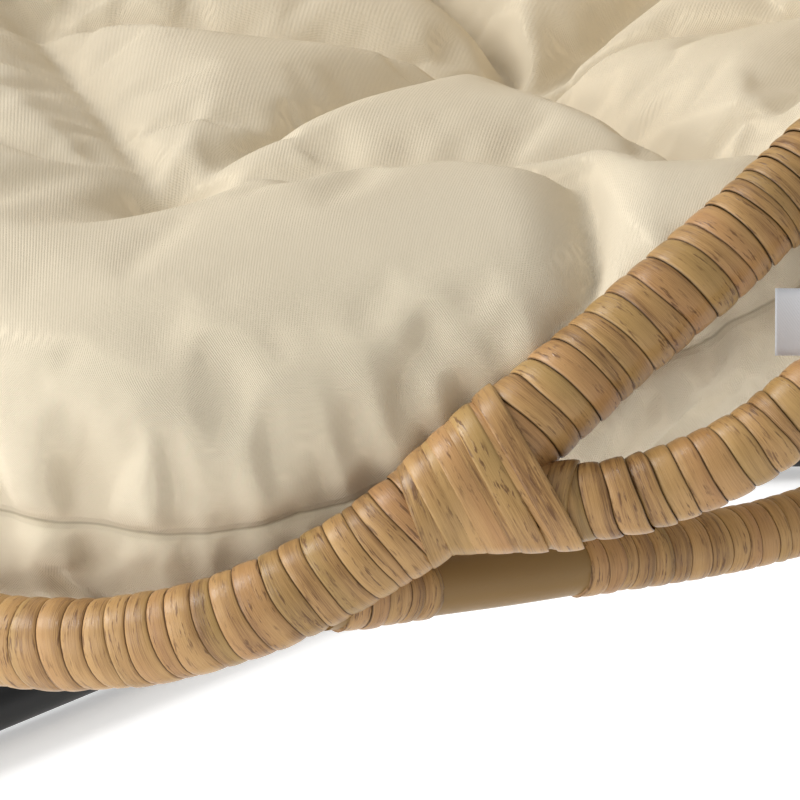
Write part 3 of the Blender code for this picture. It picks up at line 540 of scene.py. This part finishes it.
def jointStraps():
    rng = np.random.default_rng(21)
    turn = np.linspace(0, 2 * np.pi, 48, endpoint=False)
    nearRim, nearBelt = (0.36 * rimRun.length, 0.47 * rimRun.length), (0.0, 0.10 * beltRun.length)
    rimWay, beltWay = np.array(straps["rimWay"]), np.array(straps["beltWay"])
    # origin, normal, height, whether it goes round both tubes
    plans = [(np.array(spot), unit(np.array(way)), height, False) for spot, way, height in straps["short"]]
    for k in range(straps["count"]):
        share = k / (straps["count"] - 1)
        origin = np.array(straps["first"]) * (1 - share) + np.array(straps["last"]) * share
        normal = unit(rimWay * (0.50 + 0.34 * share) + beltWay * (0.50 - 0.34 * share))
        lean = math.radians(straps["spread"]) * rng.normal(0, 0.6)
        normal = unit(normal + math.tan(lean) * unit(np.cross(normal, (0.3, -0.8, 0.5))))
        height = straps["height"] + 0.0007 * share + 0.0006 * (k % 2) + 0.0003 * rng.random()
        plans.append((origin, normal, height, True))
    for side, word in ((1, "Right"), (-1, "Left")):
        for k, (origin, normal, height, both) in enumerate(plans):
            origin = origin + (0, basketY, 0)
            first = unit(np.cross(normal, (0, 0, 1)))
            second = np.cross(normal, first)
            tubes = [(rimRun, nearRim, rim["radius"] + 0.0012), (beltRun, nearBelt, belt["radius"] + 0.0010)]
            rows = []
            for across in straps["rows"]:
                rise = height + 0.0006 * (1 - abs(2 * across) ** 3.4) - (0.0016 if abs(across) == 0.5 else 0)
                here = origin + normal * across * straps["width"]
                found = []
                for track, span, radius in tubes if both else tubes[1:]:
                    centre, along = crossing(track, *span, here, normal)
                    sideways = unit(np.cross(along, (0, 0, 1)))
                    upward = np.cross(sideways, along)
                    ring = np.cos(turn)[:, None] * sideways + np.sin(turn)[:, None] * upward
                    ring = centre + (radius + rise) * ring
                    ring = ring + along * (((here - ring) @ normal) / (along @ normal))[:, None]
                    found.append(np.column_stack([(ring - origin) @ first, (ring - origin) @ second]))
                outline = hullOf(np.vstack(found))
                middle = np.vstack(found).mean(axis=0)
                loop = np.vstack([outline, outline[:1]])
                runs = runsOf(loop)
                bearing = np.unwrap(np.arctan2(*(loop - middle).T[::-1]))
                want = -np.pi + np.linspace(0, 2 * np.pi, straps["sides"], endpoint=False)
                spots = np.interp((want - bearing[0]) % (2 * np.pi), bearing - bearing[0], runs)
                flat = np.column_stack([np.interp(spots, runs, loop[:, axis]) for axis in (0, 1)])
                rows.append(here + flat[:, :1] * first + flat[:, 1:] * second)
            verts = np.array(rows)
            lengths = np.linspace(0, runs[-1], straps["sides"], endpoint=False) + k * 0.31
            shares = np.linspace(0, 1, len(rows))
            uvs = np.stack(np.broadcast_arrays(lengths[None, :], shares[:, None]), -1)
            faces = gridFaces(len(rows), straps["sides"], loop=True)
            verts[..., 0] *= side
            if side > 0:
                faces = faces[:, ::-1]
            meshPiece(f"jointStrap{word}{k + 1}", verts.reshape(-1, 3), faces, wickerStrand, "basket",
                      uvs=uvs.reshape(-1, 2))


jointStraps()
print("joint straps wound")


# the stand

footing = {
    "radius": 0.019,
    "reach": 0.478,
    "corner": 0.220,
    "front": -0.340,
    "back": 0.820,
    "height": 0.025,
    "gap": 0.004,  # how far each half stops from the middle
}


def standTubes():
    corner, height = footing["corner"], footing["height"]
    for side, word in ((-1, "left"), (1, "right")):
        points = [(side * footing["gap"], footing["front"], height)]
        for y0, first in ((footing["front"] + corner, -90), (footing["back"] - corner, 0)):
            for a in np.radians(np.linspace(first, first + 90, 13)):
                out = footing["reach"] - corner + corner * math.cos(a)
                points.append((side * out, y0 + corner * math.sin(a), height))
        points.append((side * footing["gap"], footing["back"], height))
        line = smoothLine([(x, y + hangY, z) for x, y, z in points], step=0.010)
        roundTube(f"baseTube{word.title()}", line, footing["radius"], blackCoat, "stand",
                  [f"base_frame_{word}"], sides=40)


pole = {
    "radius": 0.0225,
    "lean": (0.012, 0.400),  # how the foot's socket leans back, in y and z
    "inSocket": (0.036, 0.078, 0.120, 0.165, 0.215),
    "line": [
        (0.830, 0.45), (0.822, 0.75), (0.792, 1.05), (0.731, 1.33), (0.627, 1.58), (0.474, 1.775),
        (0.290, 1.880), (0.120, 1.905), (-0.045, 1.905),
    ],
    "joint": 0.46,  # share of the run where the two lengths meet
    "gap": 0.0006,
}


def poleTubes():
    lean = unit(np.array(pole["lean"]))
    points = [(0, hangY + footing["back"] + lean[0] * run, footing["height"] + lean[1] * run)
              for run in pole["inSocket"]]
    points += [(0, hangY + y, z) for y, z in pole["line"]]
    track = Track(smoothLine(points, step=0.008), side=(1, 0, 0))
    for word, low, high in (("Low", 0.0, pole["joint"]), ("High", pole["joint"] + pole["gap"], 1.0)):
        count = round((high - low) * track.length / 0.012)
        line = track.at(np.linspace(low, high, count) * track.length)[0]
        node = "pole_lower" if word == "Low" else "pole_upper"
        roundTube(f"poleTube{word}", line, pole["radius"], blackCoat, "stand", [node], sides=48)


coil = {
    "low": 1.658,
    "length": 0.094,
    "mean": 0.0170,
    "wire": 0.0030,
    "turns": 8,
    "flat": 0.75,  # turns that lie flat at each end
    "stretch": 0.025,
}


def coilSpring():
    # the spring's wire, wound at rest with flat end turns; the drawbars squeeze the spring towards its low
    # end as they are pulled apart
    share = np.linspace(0, 1, coil["turns"] * 40 + 1)
    flat = coil["flat"] / coil["turns"]
    lift = 0.70 * coil["wire"] * 2 * coil["flat"] / coil["length"]
    rise = np.interp(share, [0, flat, 1 - flat, 1], [0, lift, 1 - lift, 1]) * coil["length"]
    turn = 2 * np.pi * coil["turns"] * share
    line = np.column_stack([coil["mean"] * np.cos(turn), hangY + coil["mean"] * np.sin(turn),
                            coil["low"] + rise])
    piece = roundTube("coilSpringWire", line, coil["wire"], springBlack, "upper_link", ["coil_spring"],
                      sides=20)
    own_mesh(piece)


standTubes()
poleTubes()
coilSpring()
print("stand made")


# the cushion, one padded nest for seat and back

cushion = {
    "middle": [  # y, z, half width, rise of the side seam, padding over and under the middle
        (-0.378, 0.394, 0.010, 0.000, 0.034, 0.036), (-0.370, 0.395, 0.064, 0.000, 0.052, 0.043),
        (-0.352, 0.400, 0.126, -0.003, 0.068, 0.047), (-0.322, 0.409, 0.168, -0.004, 0.080, 0.049),
        (-0.285, 0.416, 0.192, 0.004, 0.086, 0.050), (-0.245, 0.422, 0.222, 0.022, 0.088, 0.052),
        (-0.205, 0.427, 0.262, 0.042, 0.088, 0.053), (-0.150, 0.431, 0.296, 0.066, 0.085, 0.053),
        (-0.080, 0.434, 0.312, 0.096, 0.080, 0.052), (0.000, 0.436, 0.318, 0.122, 0.078, 0.052),
        (0.080, 0.440, 0.318, 0.138, 0.078, 0.050), (0.150, 0.462, 0.314, 0.130, 0.078, 0.050),
        (0.206, 0.512, 0.310, 0.112, 0.072, 0.050), (0.238, 0.585, 0.306, 0.092, 0.068, 0.048),
        (0.250, 0.670, 0.302, 0.078, 0.066, 0.046), (0.254, 0.780, 0.298, 0.074, 0.066, 0.046),
        (0.248, 0.890, 0.288, 0.072, 0.064, 0.044), (0.222, 1.000, 0.268, 0.066, 0.060, 0.042),
        (0.186, 1.090, 0.232, 0.054, 0.054, 0.036), (0.150, 1.160, 0.180, 0.036, 0.044, 0.028),
        (0.126, 1.204, 0.112, 0.018, 0.030, 0.018), (0.116, 1.222, 0.012, 0.002, 0.014, 0.010),
    ],
    "tufts": [  # x, y, z and how deep each one draws the top in
        (0.007, -0.2370, 0.490, 0.044), (0.000, 0.0025, 0.500, 0.054), (0.195, -0.105, 0.540, 0.044),
        (-0.195, -0.105, 0.540, 0.036), (0.195, 0.110, 0.560, 0.036), (-0.195, 0.110, 0.560, 0.036),
        (0.000, 0.175, 0.585, 0.036), (0.165, 0.150, 0.720, 0.034), (-0.165, 0.150, 0.720, 0.034),
        (0.000, 0.190, 0.830, 0.036), (0.165, 0.140, 0.940, 0.034), (-0.165, 0.140, 0.940, 0.034),
        (0.000, 0.150, 1.050, 0.032),
    ],
    "creases": [  # pairs of tufts joined by a fold, counted from nought, with its depth
        (0, 1, 0.022), (0, 2, 0.018), (0, 3, 0.026), (1, 2, 0.038), (1, 3, 0.026), (1, 4, 0.036),
        (1, 5, 0.036), (1, 6, 0.034), (6, 4, 0.018), (6, 5, 0.018), (6, 7, 0.018), (6, 8, 0.018),
        (7, 9, 0.018), (8, 9, 0.018), (9, 10, 0.018), (9, 11, 0.018), (10, 12, 0.018), (11, 12, 0.018),
        (2, 4, 0.014), (3, 5, 0.014), (4, 7, 0.012), (5, 8, 0.012),
    ],
    "folds": [  # loose folds from a tuft to the side: ends, depth and width
        ((0.110, -0.170, 0.530), (0.168, -0.168, 0.530), 0.020, 0.030),
        ((0.168, -0.168, 0.530), (0.222, -0.225, 0.505), 0.018, 0.030),
        ((0.007, -0.2370, 0.490), (-0.105, -0.245, 0.500), 0.014, 0.035),
        ((0.195, -0.105, 0.540), (0.290, -0.150, 0.520), 0.016, 0.030),
        ((-0.195, -0.105, 0.540), (-0.290, -0.150, 0.520), 0.016, 0.030),
    ],
    "voxel": 0.0056,
    "cap": 0.026,  # the most that the cloth may move
    "frames": 20,
    "cloth": {
        "quality": 5,
        "mass": 0.25,
        "tension_stiffness": 18,
        "compression_stiffness": 18,
        "shear_stiffness": 6,
        "bending_stiffness": 2.5,
        "tension_damping": 12,
        "compression_damping": 12,
        "use_pressure": True,
        "uniform_pressure_force": 4.0,
        "shrink_min": -0.035,  # how much more cloth there is than the plain shape needs
        "pin_stiffness": 1.0,
    },
    "gathers": {"depth": 0.0060, "reach": 0.030, "waves": 9, "shortest": 0.021, "longest": 0.060},
    "groove": ((0.0042, 0.0050), (0.0016, 0.0022)),  # depth and width of the seam, coarse then fine
}


def cushionBlank():
    # the closed plain form: middle sheet, padding on each side, seam all round its edge
    table = np.array(cushion["middle"])
    runs = runsOf(table[:, :2])
    end, fine = runs[-1], 0.05  # the rows lie closer together near both ends
    want = np.concatenate([np.linspace(0, fine, 14)[:-1], np.linspace(fine, end - fine, 90),
                           np.linspace(end - fine, end, 14)[1:]])
    y, z, half, rise, top, under = (np.interp(want, runs, table[:, k]) for k in range(6))
    for line in (y, z, rise, top, under):
        line[3:-3] = np.convolve(line, np.ones(7) / 7, "valid")
    way = unit(np.column_stack([np.gradient(y), np.gradient(z)]))
    inward = np.column_stack([-way[:, 1], way[:, 0]])
    u = np.sin(np.linspace(-np.pi / 2, np.pi / 2, 61))
    swell = np.maximum(0, 1 - np.abs(u) ** 3.0) ** 0.5
    verts = []
    # the underside hangs full at its sides
    fuller = np.maximum(0, 1 - np.abs(u) ** 5) ** 0.5 * (1 + 0.55 * u * u)
    for sign, depth, profile in ((1, top, swell), (-1, under, fuller)):
        lift = rise[:, None] * np.abs(u)[None, :] ** 2.4 + sign * depth[:, None] * profile[None, :]
        verts.append(np.stack([half[:, None] * u[None, :], y[:, None] + inward[:, :1] * lift + basketY,
                               z[:, None] + inward[:, 1:] * lift], -1))
    rows, columns = len(y), len(u)
    faces = gridFaces(rows, columns)
    other = faces[:, ::-1] + rows * columns
    bm = bmesh.new()
    points = [bm.verts.new(p) for p in np.concatenate([v.reshape(-1, 3) for v in verts])]
    for face in np.vstack([faces, other]):
        bm.faces.new([points[i] for i in face])
    for row, way in ((0, -1), (rows - 1, 1)):
        upper = points[row * columns:(row + 1) * columns]
        lower = points[(rows + row) * columns:(rows + row + 1) * columns]
        bm.faces.new(upper[::way] + lower[1:-1][::-way])
    bmesh.ops.remove_doubles(bm, verts=bm.verts, dist=0.0002)
    bmesh.ops.holes_fill(bm, edges=[e for e in bm.edges if e.is_boundary], sides=0)
    bmesh.ops.recalc_face_normals(bm, faces=bm.faces)
    mesh = bpy.data.meshes.new("cushion")
    bm.to_mesh(mesh)
    bm.free()
    right, left = (np.column_stack([side * half, y + inward[:, 0] * rise + basketY, z + inward[:, 1] * rise])
                   for side in (1, -1))
    return mesh, np.vstack([right, left[::-1]])


def pointsOf(mesh, what="co"):
    values = np.empty(len(mesh.vertices) * 3, np.float32)
    if what == "co":
        mesh.vertices.foreach_get("co", values)
    else:
        mesh.vertex_normals.foreach_get("vector", values)
    return values.reshape(-1, 3).astype(float)


def movePoints(mesh, points):
    mesh.vertices.foreach_set("co", points.astype(np.float32).reshape(-1))


def nearSegment(points, a, b):
    # distance from each point to a segment, and how far along it the nearest spot lies
    a, b = np.ravel(a).astype(float), np.ravel(b).astype(float)
    share = np.clip((points - a) @ (b - a) / max((b - a) @ (b - a), 1e-12), 0, 1)
    return np.linalg.norm(points - a - share[:, None] * (b - a), axis=1), share


def nearLine(points, line, reach):
    # how far each point lies from a closed line, the run there and the height over it, true within reach
    best, run, over = np.full(len(points), 1.0), np.zeros(len(points)), np.zeros(len(points))
    loop = np.vstack([line, line[:1]])
    runs = runsOf(loop)
    for a, b, start, end in zip(loop, loop[1:], runs, runs[1:]):
        near = np.flatnonzero((np.abs(points - (a + b) / 2) < reach + np.linalg.norm(b - a)).all(axis=1))
        if len(near):
            away, share = nearSegment(points[near], a, b)
            closer = away < best[near]
            best[near[closer]] = away[closer]
            run[near[closer]] = (start + share * (end - start))[closer]
            over[near[closer]] = (points[near] - a - share[:, None] * (b - a))[closer] @ seamOver((a + b) / 2)
    return best, run, over


def seamOver(spot):
    # the way from the lower panel to the upper one: up on the seat, forward on the back
    lean = np.clip((spot[2] - 0.52) / 0.16, 0, 1)
    return unit(np.array([0, -lean, 1 - 0.9 * lean]))


def gathered(away, run):
    # puckers that stand square to the seam and die out away from it
    puckers = cushion["gathers"]
    rng = np.random.default_rng(12)
    wave = np.zeros(len(run))
    for length in np.linspace(puckers["shortest"], puckers["longest"], puckers["waves"]):
        wave += np.sin(2 * np.pi * run / length + rng.uniform(0, 6.28)) * rng.uniform(0.4, 1)
    wave = np.tanh(wave / 1.4)
    fade = np.exp(-(away / puckers["reach"]) ** 1.5) * (away / (away + 0.003))
    return puckers["depth"] * wave * fade


def applyModifiers(piece):
    graph = bpy.context.evaluated_depsgraph_get()
    mesh = bpy.data.meshes.new_from_object(piece.evaluated_get(graph))
    piece.modifiers.clear()
    piece.data = mesh


def sewCushion():
    mesh, seam = cushionBlank()
    piece = newObject("cushionPad", mesh)
    remesh = piece.modifiers.new("even", "REMESH")
    remesh.mode, remesh.voxel_size = "VOXEL", cushion["voxel"]
    relax = piece.modifiers.new("relax", "SMOOTH")
    relax.factor, relax.iterations = 0.5, 4
    applyModifiers(piece)
    points, normals = pointsOf(piece.data), pointsOf(piece.data, "normal")
    tufts = [np.array((x, y + basketY, z)) for x, y, z, _ in cushion["tufts"]]
    inner = insideShare(points, normals)
    depth = np.zeros(len(points))
    held = np.zeros(len(points))
    for i, j, deep in cushion["creases"]:
        away, share = nearSegment(flattened(points), flattened(tufts[i]), flattened(tufts[j]))
        soft = np.clip(1 - away / 0.052, 0, 1) ** 2.0 * (0.72 + 0.28 * np.abs(2 * share - 1))
        depth = np.maximum(depth, deep * 1.15 * soft)
        held = np.maximum(held, np.where(away < 0.006, 0.45, 0))
    for a, b, deep, width in cushion["folds"]:
        a, b = (np.array((x, y + basketY, z)) for x, y, z in (a, b))
        away, share = nearSegment(flattened(points), flattened(a), flattened(b))
        depth = np.maximum(depth, deep * np.clip(1 - away / width, 0, 1) ** 1.8)
    for spot, (_, _, _, deep) in zip(tufts, cushion["tufts"]):
        away, _ = nearSegment(flattened(points), flattened(spot), flattened(spot))
        depth = np.maximum(depth, deep * np.clip(1 - away / 0.075, 0, 1) ** 1.7)
        held = np.maximum(held, np.where(away < 0.009, 1.0, 0))
    points = points - normals * (depth * inner)[:, None]
    held *= inner > 0.6
    fromSeam, _, _ = nearLine(points, seam, 0.02)
    held = np.maximum(held, np.where(fromSeam < 0.006, 0.95, 0))
    movePoints(piece.data, points)
    puffUp(piece, held)
    return piece, seam


def flattened(points):
    # creases are laid out along the pad, whatever its thickness: distances count along the sheet only
    points = np.atleast_2d(points).astype(float).copy()
    y, z = points[:, 1] - basketY, points[:, 2]
    back = np.clip((z - 0.50 + (y - 0.05) * 0.9) / 0.16, 0, 1)
    along = y * (1 - back) + (z - 0.42) * back + back * 0.18
    return np.column_stack([points[:, 0], along, np.zeros(len(points))])


def insideShare(points, normals):
    # 1 on the side that is sat on, 0 on the outside
    y, z = points[:, 1] - basketY, points[:, 2]
    back = np.clip((z - 0.46) / 0.14, 0, 1) * (y > 0.05)
    facing = normals[:, 2] * (1 - back) - normals[:, 1] * back
    return np.clip((facing + 0.05) / 0.45, 0, 1)


def puffUp(piece, held):
    # cloth with a little air in it, held at the tufts and the seam
    before = pointsOf(piece.data)
    group = piece.vertex_groups.new(name="held")
    for level in np.unique(held[held > 0]):
        group.add(np.flatnonzero(held == level).tolist(), float(level), "REPLACE")
    cloth = piece.modifiers.new("cloth", "CLOTH")
    settings = cloth.settings
    for key, value in cushion["cloth"].items():
        setattr(settings, key, value)
    settings.vertex_group_mass = "held"
    settings.effector_weights.gravity = 0
    cloth.collision_settings.use_collision = False
    cloth.point_cache.frame_start, cloth.point_cache.frame_end = 1, cushion["frames"]
    for number in range(1, cushion["frames"] + 1):
        bpy.context.scene.frame_set(number)
    graph = bpy.context.evaluated_depsgraph_get()
    mesh = bpy.data.meshes.new_from_object(piece.evaluated_get(graph))
    after = pointsOf(mesh)
    piece.modifiers.clear()
    move = after - before
    size = np.linalg.norm(move, axis=1, keepdims=True)
    move *= np.minimum(1, cushion["cap"] / np.maximum(size, 1e-9))
    piece.data = mesh
    movePoints(mesh, before + move)
    bpy.context.scene.frame_set(1)


def finishCushion():
    piece, seam = sewCushion()
    for stage, (deep, width) in enumerate(cushion["groove"]):
        points, normals = pointsOf(piece.data), pointsOf(piece.data, "normal")
        away, run, _ = nearLine(points, seam, 0.07 if stage == 0 else 0.02)
        shift = -deep * np.exp(-(away / width) ** 2)
        if stage == 0:
            shift = shift + gathered(away, run)
        points += normals * shift[:, None]
        movePoints(piece.data, points)
        if stage == 0:
            sub = piece.modifiers.new("smooth", "SUBSURF")
            sub.levels = sub.render_levels = 1
            applyModifiers(piece)
    away, _, over = nearLine(pointsOf(piece.data), seam, 0.03)
    seamAway = piece.data.attributes.new("seamAway", "FLOAT", "POINT")
    seamAway.data.foreach_set("value", np.where(away < 0.03, over, 1.0).astype(np.float32))
    piece.data.shade_smooth()
    piece.data.materials.clear()
    piece.data.materials.append(clothMaterial())
    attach(piece, "basket")
    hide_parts("cushion")


fabric = {
    "lit": (0.790, 0.690, 0.520),
    "deep": (0.735, 0.630, 0.450),
    # painted highlight on the raised crowns of the threads
    "raised": (0.930, 0.850, 0.690),
    # painted shadow: the colour of the shaded crease along the seam
    "seam": (0.480, 0.395, 0.250),
    "turnover": 12,  # how sharply the weave passes from one facing to the next
    "pitch": 0.00085,
    "relief": 0.00032,
}


def clothMaterial():
    # a plain weave, read from three sides so that it doesn't depend on any unwrapping
    material, tree, shader = newMaterial("creamCloth")
    where = addNode(tree, "ShaderNodeTexCoord").outputs["Object"]
    facing = addNode(tree, "ShaderNodeTexCoord").outputs["Normal"]
    rate = 2 * math.pi / fabric["pitch"]
    waves = addNode(tree, "ShaderNodeVectorMath", {0: where, 1: (rate,) * 3}, operation="MULTIPLY")
    split = addNode(tree, "ShaderNodeSeparateXYZ", {"Vector": waves.outputs["Vector"]})
    sines = [mathNode(tree, "SINE", split.outputs[k]) for k in range(3)]
    side = addNode(tree, "ShaderNodeSeparateXYZ", {"Vector": facing})
    weights = [mathNode(tree, "POWER", mathNode(tree, "ABSOLUTE", side.outputs[k]), fabric["turnover"])
               for k in range(3)]
    total = mathNode(tree, "ADD", mathNode(tree, "ADD", weights[0], weights[1]), weights[2])
    height = None
    for weight, (a, b) in zip(weights, ((1, 2), (0, 2), (0, 1))):
        weave = mathNode(tree, "MULTIPLY", sines[a], sines[b])
        share = mathNode(tree, "MULTIPLY", weave, mathNode(tree, "DIVIDE", weight, total))
        height = share if height is None else mathNode(tree, "ADD", height, share)
    slub = noiseOf(tree, where, 420, 3.0, 0.6)
    broad = noiseOf(tree, where, 6.0, 3.0, 0.5)
    base = mixColour(tree, broad, fabric["lit"], fabric["deep"])
    # painted highlight: the raised threads of the weave are lightened
    weaveHighlight = mathNode(tree, "MULTIPLY", mathNode(tree, "ADD", height, 1.0), 0.5, clamp=True)
    base = mixColour(tree, mathNode(tree, "MULTIPLY", weaveHighlight, 0.28), base, fabric["raised"])
    away = addNode(tree, "ShaderNodeAttribute", attribute_name="seamAway").outputs["Fac"]
    away = mathNode(tree, "ABSOLUTE", away)
    # painted shadow: a thin dark line in the crease along the seam
    seamShadow = addNode(tree, "ShaderNodeMapRange", {"Value": away, "From Min": 0.00015, "From Max": 0.0009,
                                                  "To Min": 0.70, "To Max": 0.0}).outputs["Result"]
    base = mixColour(tree, seamShadow, base, fabric["seam"])
    fold = addNode(tree, "ShaderNodeMapRange", {"Value": away, "From Min": 0.0, "From Max": 0.0026,
                                                "To Min": -1.0, "To Max": 0.0}).outputs["Result"]
    tree.links.new(base, shader.inputs["Base Color"])
    shader.inputs["Roughness"].default_value = 0.92
    shader.inputs["Specular IOR Level"].default_value = 0.25
    shader.inputs["Sheen Weight"].default_value = 0.12
    shader.inputs["Sheen Roughness"].default_value = 0.5
    height = mathNode(tree, "MULTIPLY", height, 0.5)
    height = mathNode(tree, "ADD", height, mathNode(tree, "MULTIPLY", slub, 0.6))
    bump = addNode(tree, "ShaderNodeBump", {"Height": height, "Strength": 0.9, "Distance": fabric["relief"]})
    crease = addNode(tree, "ShaderNodeBump", {"Height": fold, "Strength": 0.9, "Distance": 0.0016,
                                              "Normal": bump.outputs["Normal"]})
    tree.links.new(crease.outputs["Normal"], shader.inputs["Normal"])
    return material


finishCushion()
print("cushion sewn")


# the blank label folded into the right side seam

label = {
    "size": (0.013, 0.026),
    "thick": 0.0009,
    "spot": (0.2980, -0.1834, 0.480),
    "way": (-0.75, -0.63, -0.20),  # which way it hangs from the seam
    "across": (-0.20, 0.24, 0.95),
}


def sewLabel():
    across = unit(np.array(label["across"], float))
    way = unit(np.array(label["way"]) - across * np.dot(label["way"], across))
    out = np.cross(across, way)
    spot = np.array(label["spot"]) + (0, basketY, 0)
    rows, columns = 15, 9
    a, b = np.meshgrid(np.linspace(0, 1, rows), np.linspace(-0.5, 0.5, columns), indexing="ij")
    curl = 0.0028 * a ** 2 + 0.0008 * np.sin(5 * b + 1) * a
    verts = []
    for side in (-1, 1):
        verts.append(spot + way * (a * label["size"][0])[..., None]
                     + across * (b * label["size"][1])[..., None]
                     + out * (curl + side * label["thick"] / 2)[..., None])
    count = rows * columns
    faces = list(gridFaces(rows, columns))
    faces += [face[::-1] + count for face in faces]
    edge = list(range(columns)) + [i * columns + columns - 1 for i in range(1, rows)]
    edge += [(rows - 1) * columns + i for i in range(columns - 2, -1, -1)]
    edge += [i * columns for i in range(rows - 2, 0, -1)]
    faces += [np.array([j, i, i + count, j + count]) for i, j in zip(edge, edge[1:] + edge[:1])]
    meshPiece("careLabelTag", np.concatenate([v.reshape(-1, 3) for v in verts]), np.array(faces),
              labelMaterial(), "basket", ["care_label"])


def labelMaterial():
    # satin ribbon: fine lines one way, and slightly off white
    material, tree, shader = newMaterial("labelSatin")
    where = addNode(tree, "ShaderNodeTexCoord").outputs["Object"]
    lines = addNode(tree, "ShaderNodeTexWave", {"Vector": where, "Scale": 420.0, "Distortion": 0.4},
                    bands_direction="DIAGONAL")
    soft = noiseOf(tree, where, 60, 3.0, 0.6)
    tree.links.new(mixColour(tree, soft, (0.86, 0.87, 0.90), (0.78, 0.80, 0.84)), shader.inputs["Base Color"])
    setBump(tree, shader, lines.outputs["Fac"], 0.4, 0.0001)
    shader.inputs["Roughness"].default_value = 0.62
    return material


sewLabel()
print("label sewn")


# finishes for the carried-over frame pieces

finishOf = {
    "blackCoat": ("pole_foot", "front_coupler"),
    "blackPlastic": ("foot_pad", "arm_end_cap"),
    "tanCoat": ("rim_tube", "belt_tube", "crown_staple"),
}
for nodeName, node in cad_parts.items():
    chosen = "zincPlate"
    for finish, starts in finishOf.items():
        if nodeName.startswith(starts):
            chosen = finish
    node.data.shade_smooth()
    node.data.set_sharp_from_angle(angle=math.radians(40))
    node.data.materials.clear()
    node.data.materials.append(bpy.data.materials[chosen])


# floor, light and camera

view = {
    "azimuth": 40,
    "elevation": 18,
    "distance": 1.6,
    "target": (0.1889, -0.390 + basketY + 0.0910, 0.345 + 0.1093),
    "lens": 187.5,
}


studio = {
    "floor": 0.95,
    "glow": 0.34,  # of the floor, so that it stays pale in the shade
    "world": 0.50,
    "aim": (0, -0.3, 0.6),
    "lamps": {  # place, size and power
        "key": ((-2.5, -1.9, 2.5), 1.3, 84),
        "low": ((-1.2, -3.2, 0.75), 1.6, 36),
        "back": ((0.6, 2.6, 3.0), 2.0, 14),
    },
}


def setStage():
    floorMaterial, _, shader = newMaterial("paleFloor")
    shader.inputs["Base Color"].default_value = (studio["floor"],) * 3 + (1,)
    shader.inputs["Roughness"].default_value = 0.9
    shader.inputs["Emission Color"].default_value = (1, 1, 1, 1)
    shader.inputs["Emission Strength"].default_value = studio["glow"]
    mesh = bpy.data.meshes.new("floor")
    mesh.from_pydata([(-60, -60, 0), (60, -60, 0), (60, 60, 0), (-60, 60, 0)], [], [(0, 1, 2, 3)])
    mesh.materials.append(floorMaterial)
    floor = newObject("floor", mesh)
    world = bpy.data.worlds.new("studio")
    bpy.context.scene.world = world
    world.use_nodes = True
    world.node_tree.nodes["Background"].inputs["Color"].default_value = (1, 1, 1, 1)
    world.node_tree.nodes["Background"].inputs["Strength"].default_value = studio["world"]
    for name, (spot, size, power) in studio["lamps"].items():
        lamp = bpy.data.lights.new(name, "AREA")
        lamp.size, lamp.energy = size, power
        holder = newObject(name, lamp)
        holder.location = spot
        way = Vector(studio["aim"]) - Vector(spot)
        holder.rotation_euler = way.to_track_quat("-Z", "Y").to_euler()
    bpy.context.scene.view_settings.view_transform = "Standard"
    bpy.context.scene.view_settings.look = "None"


def setCamera():
    lens = bpy.data.cameras.new("camera")
    lens.lens, lens.sensor_width = view["lens"], 36
    lens.clip_start, lens.clip_end = 0.05, 200
    camera = newObject("camera", lens)
    a, e = math.radians(view["azimuth"]), math.radians(view["elevation"])
    back = Vector((math.sin(a) * math.cos(e), -math.cos(a) * math.cos(e), math.sin(e)))
    camera.location = Vector(view["target"]) + back * view["distance"]
    camera.rotation_mode = "QUATERNION"
    camera.rotation_quaternion = (-back).to_track_quat("-Z", "Y")
    bpy.context.scene.camera = camera


setStage()
setCamera()
print("stage set")
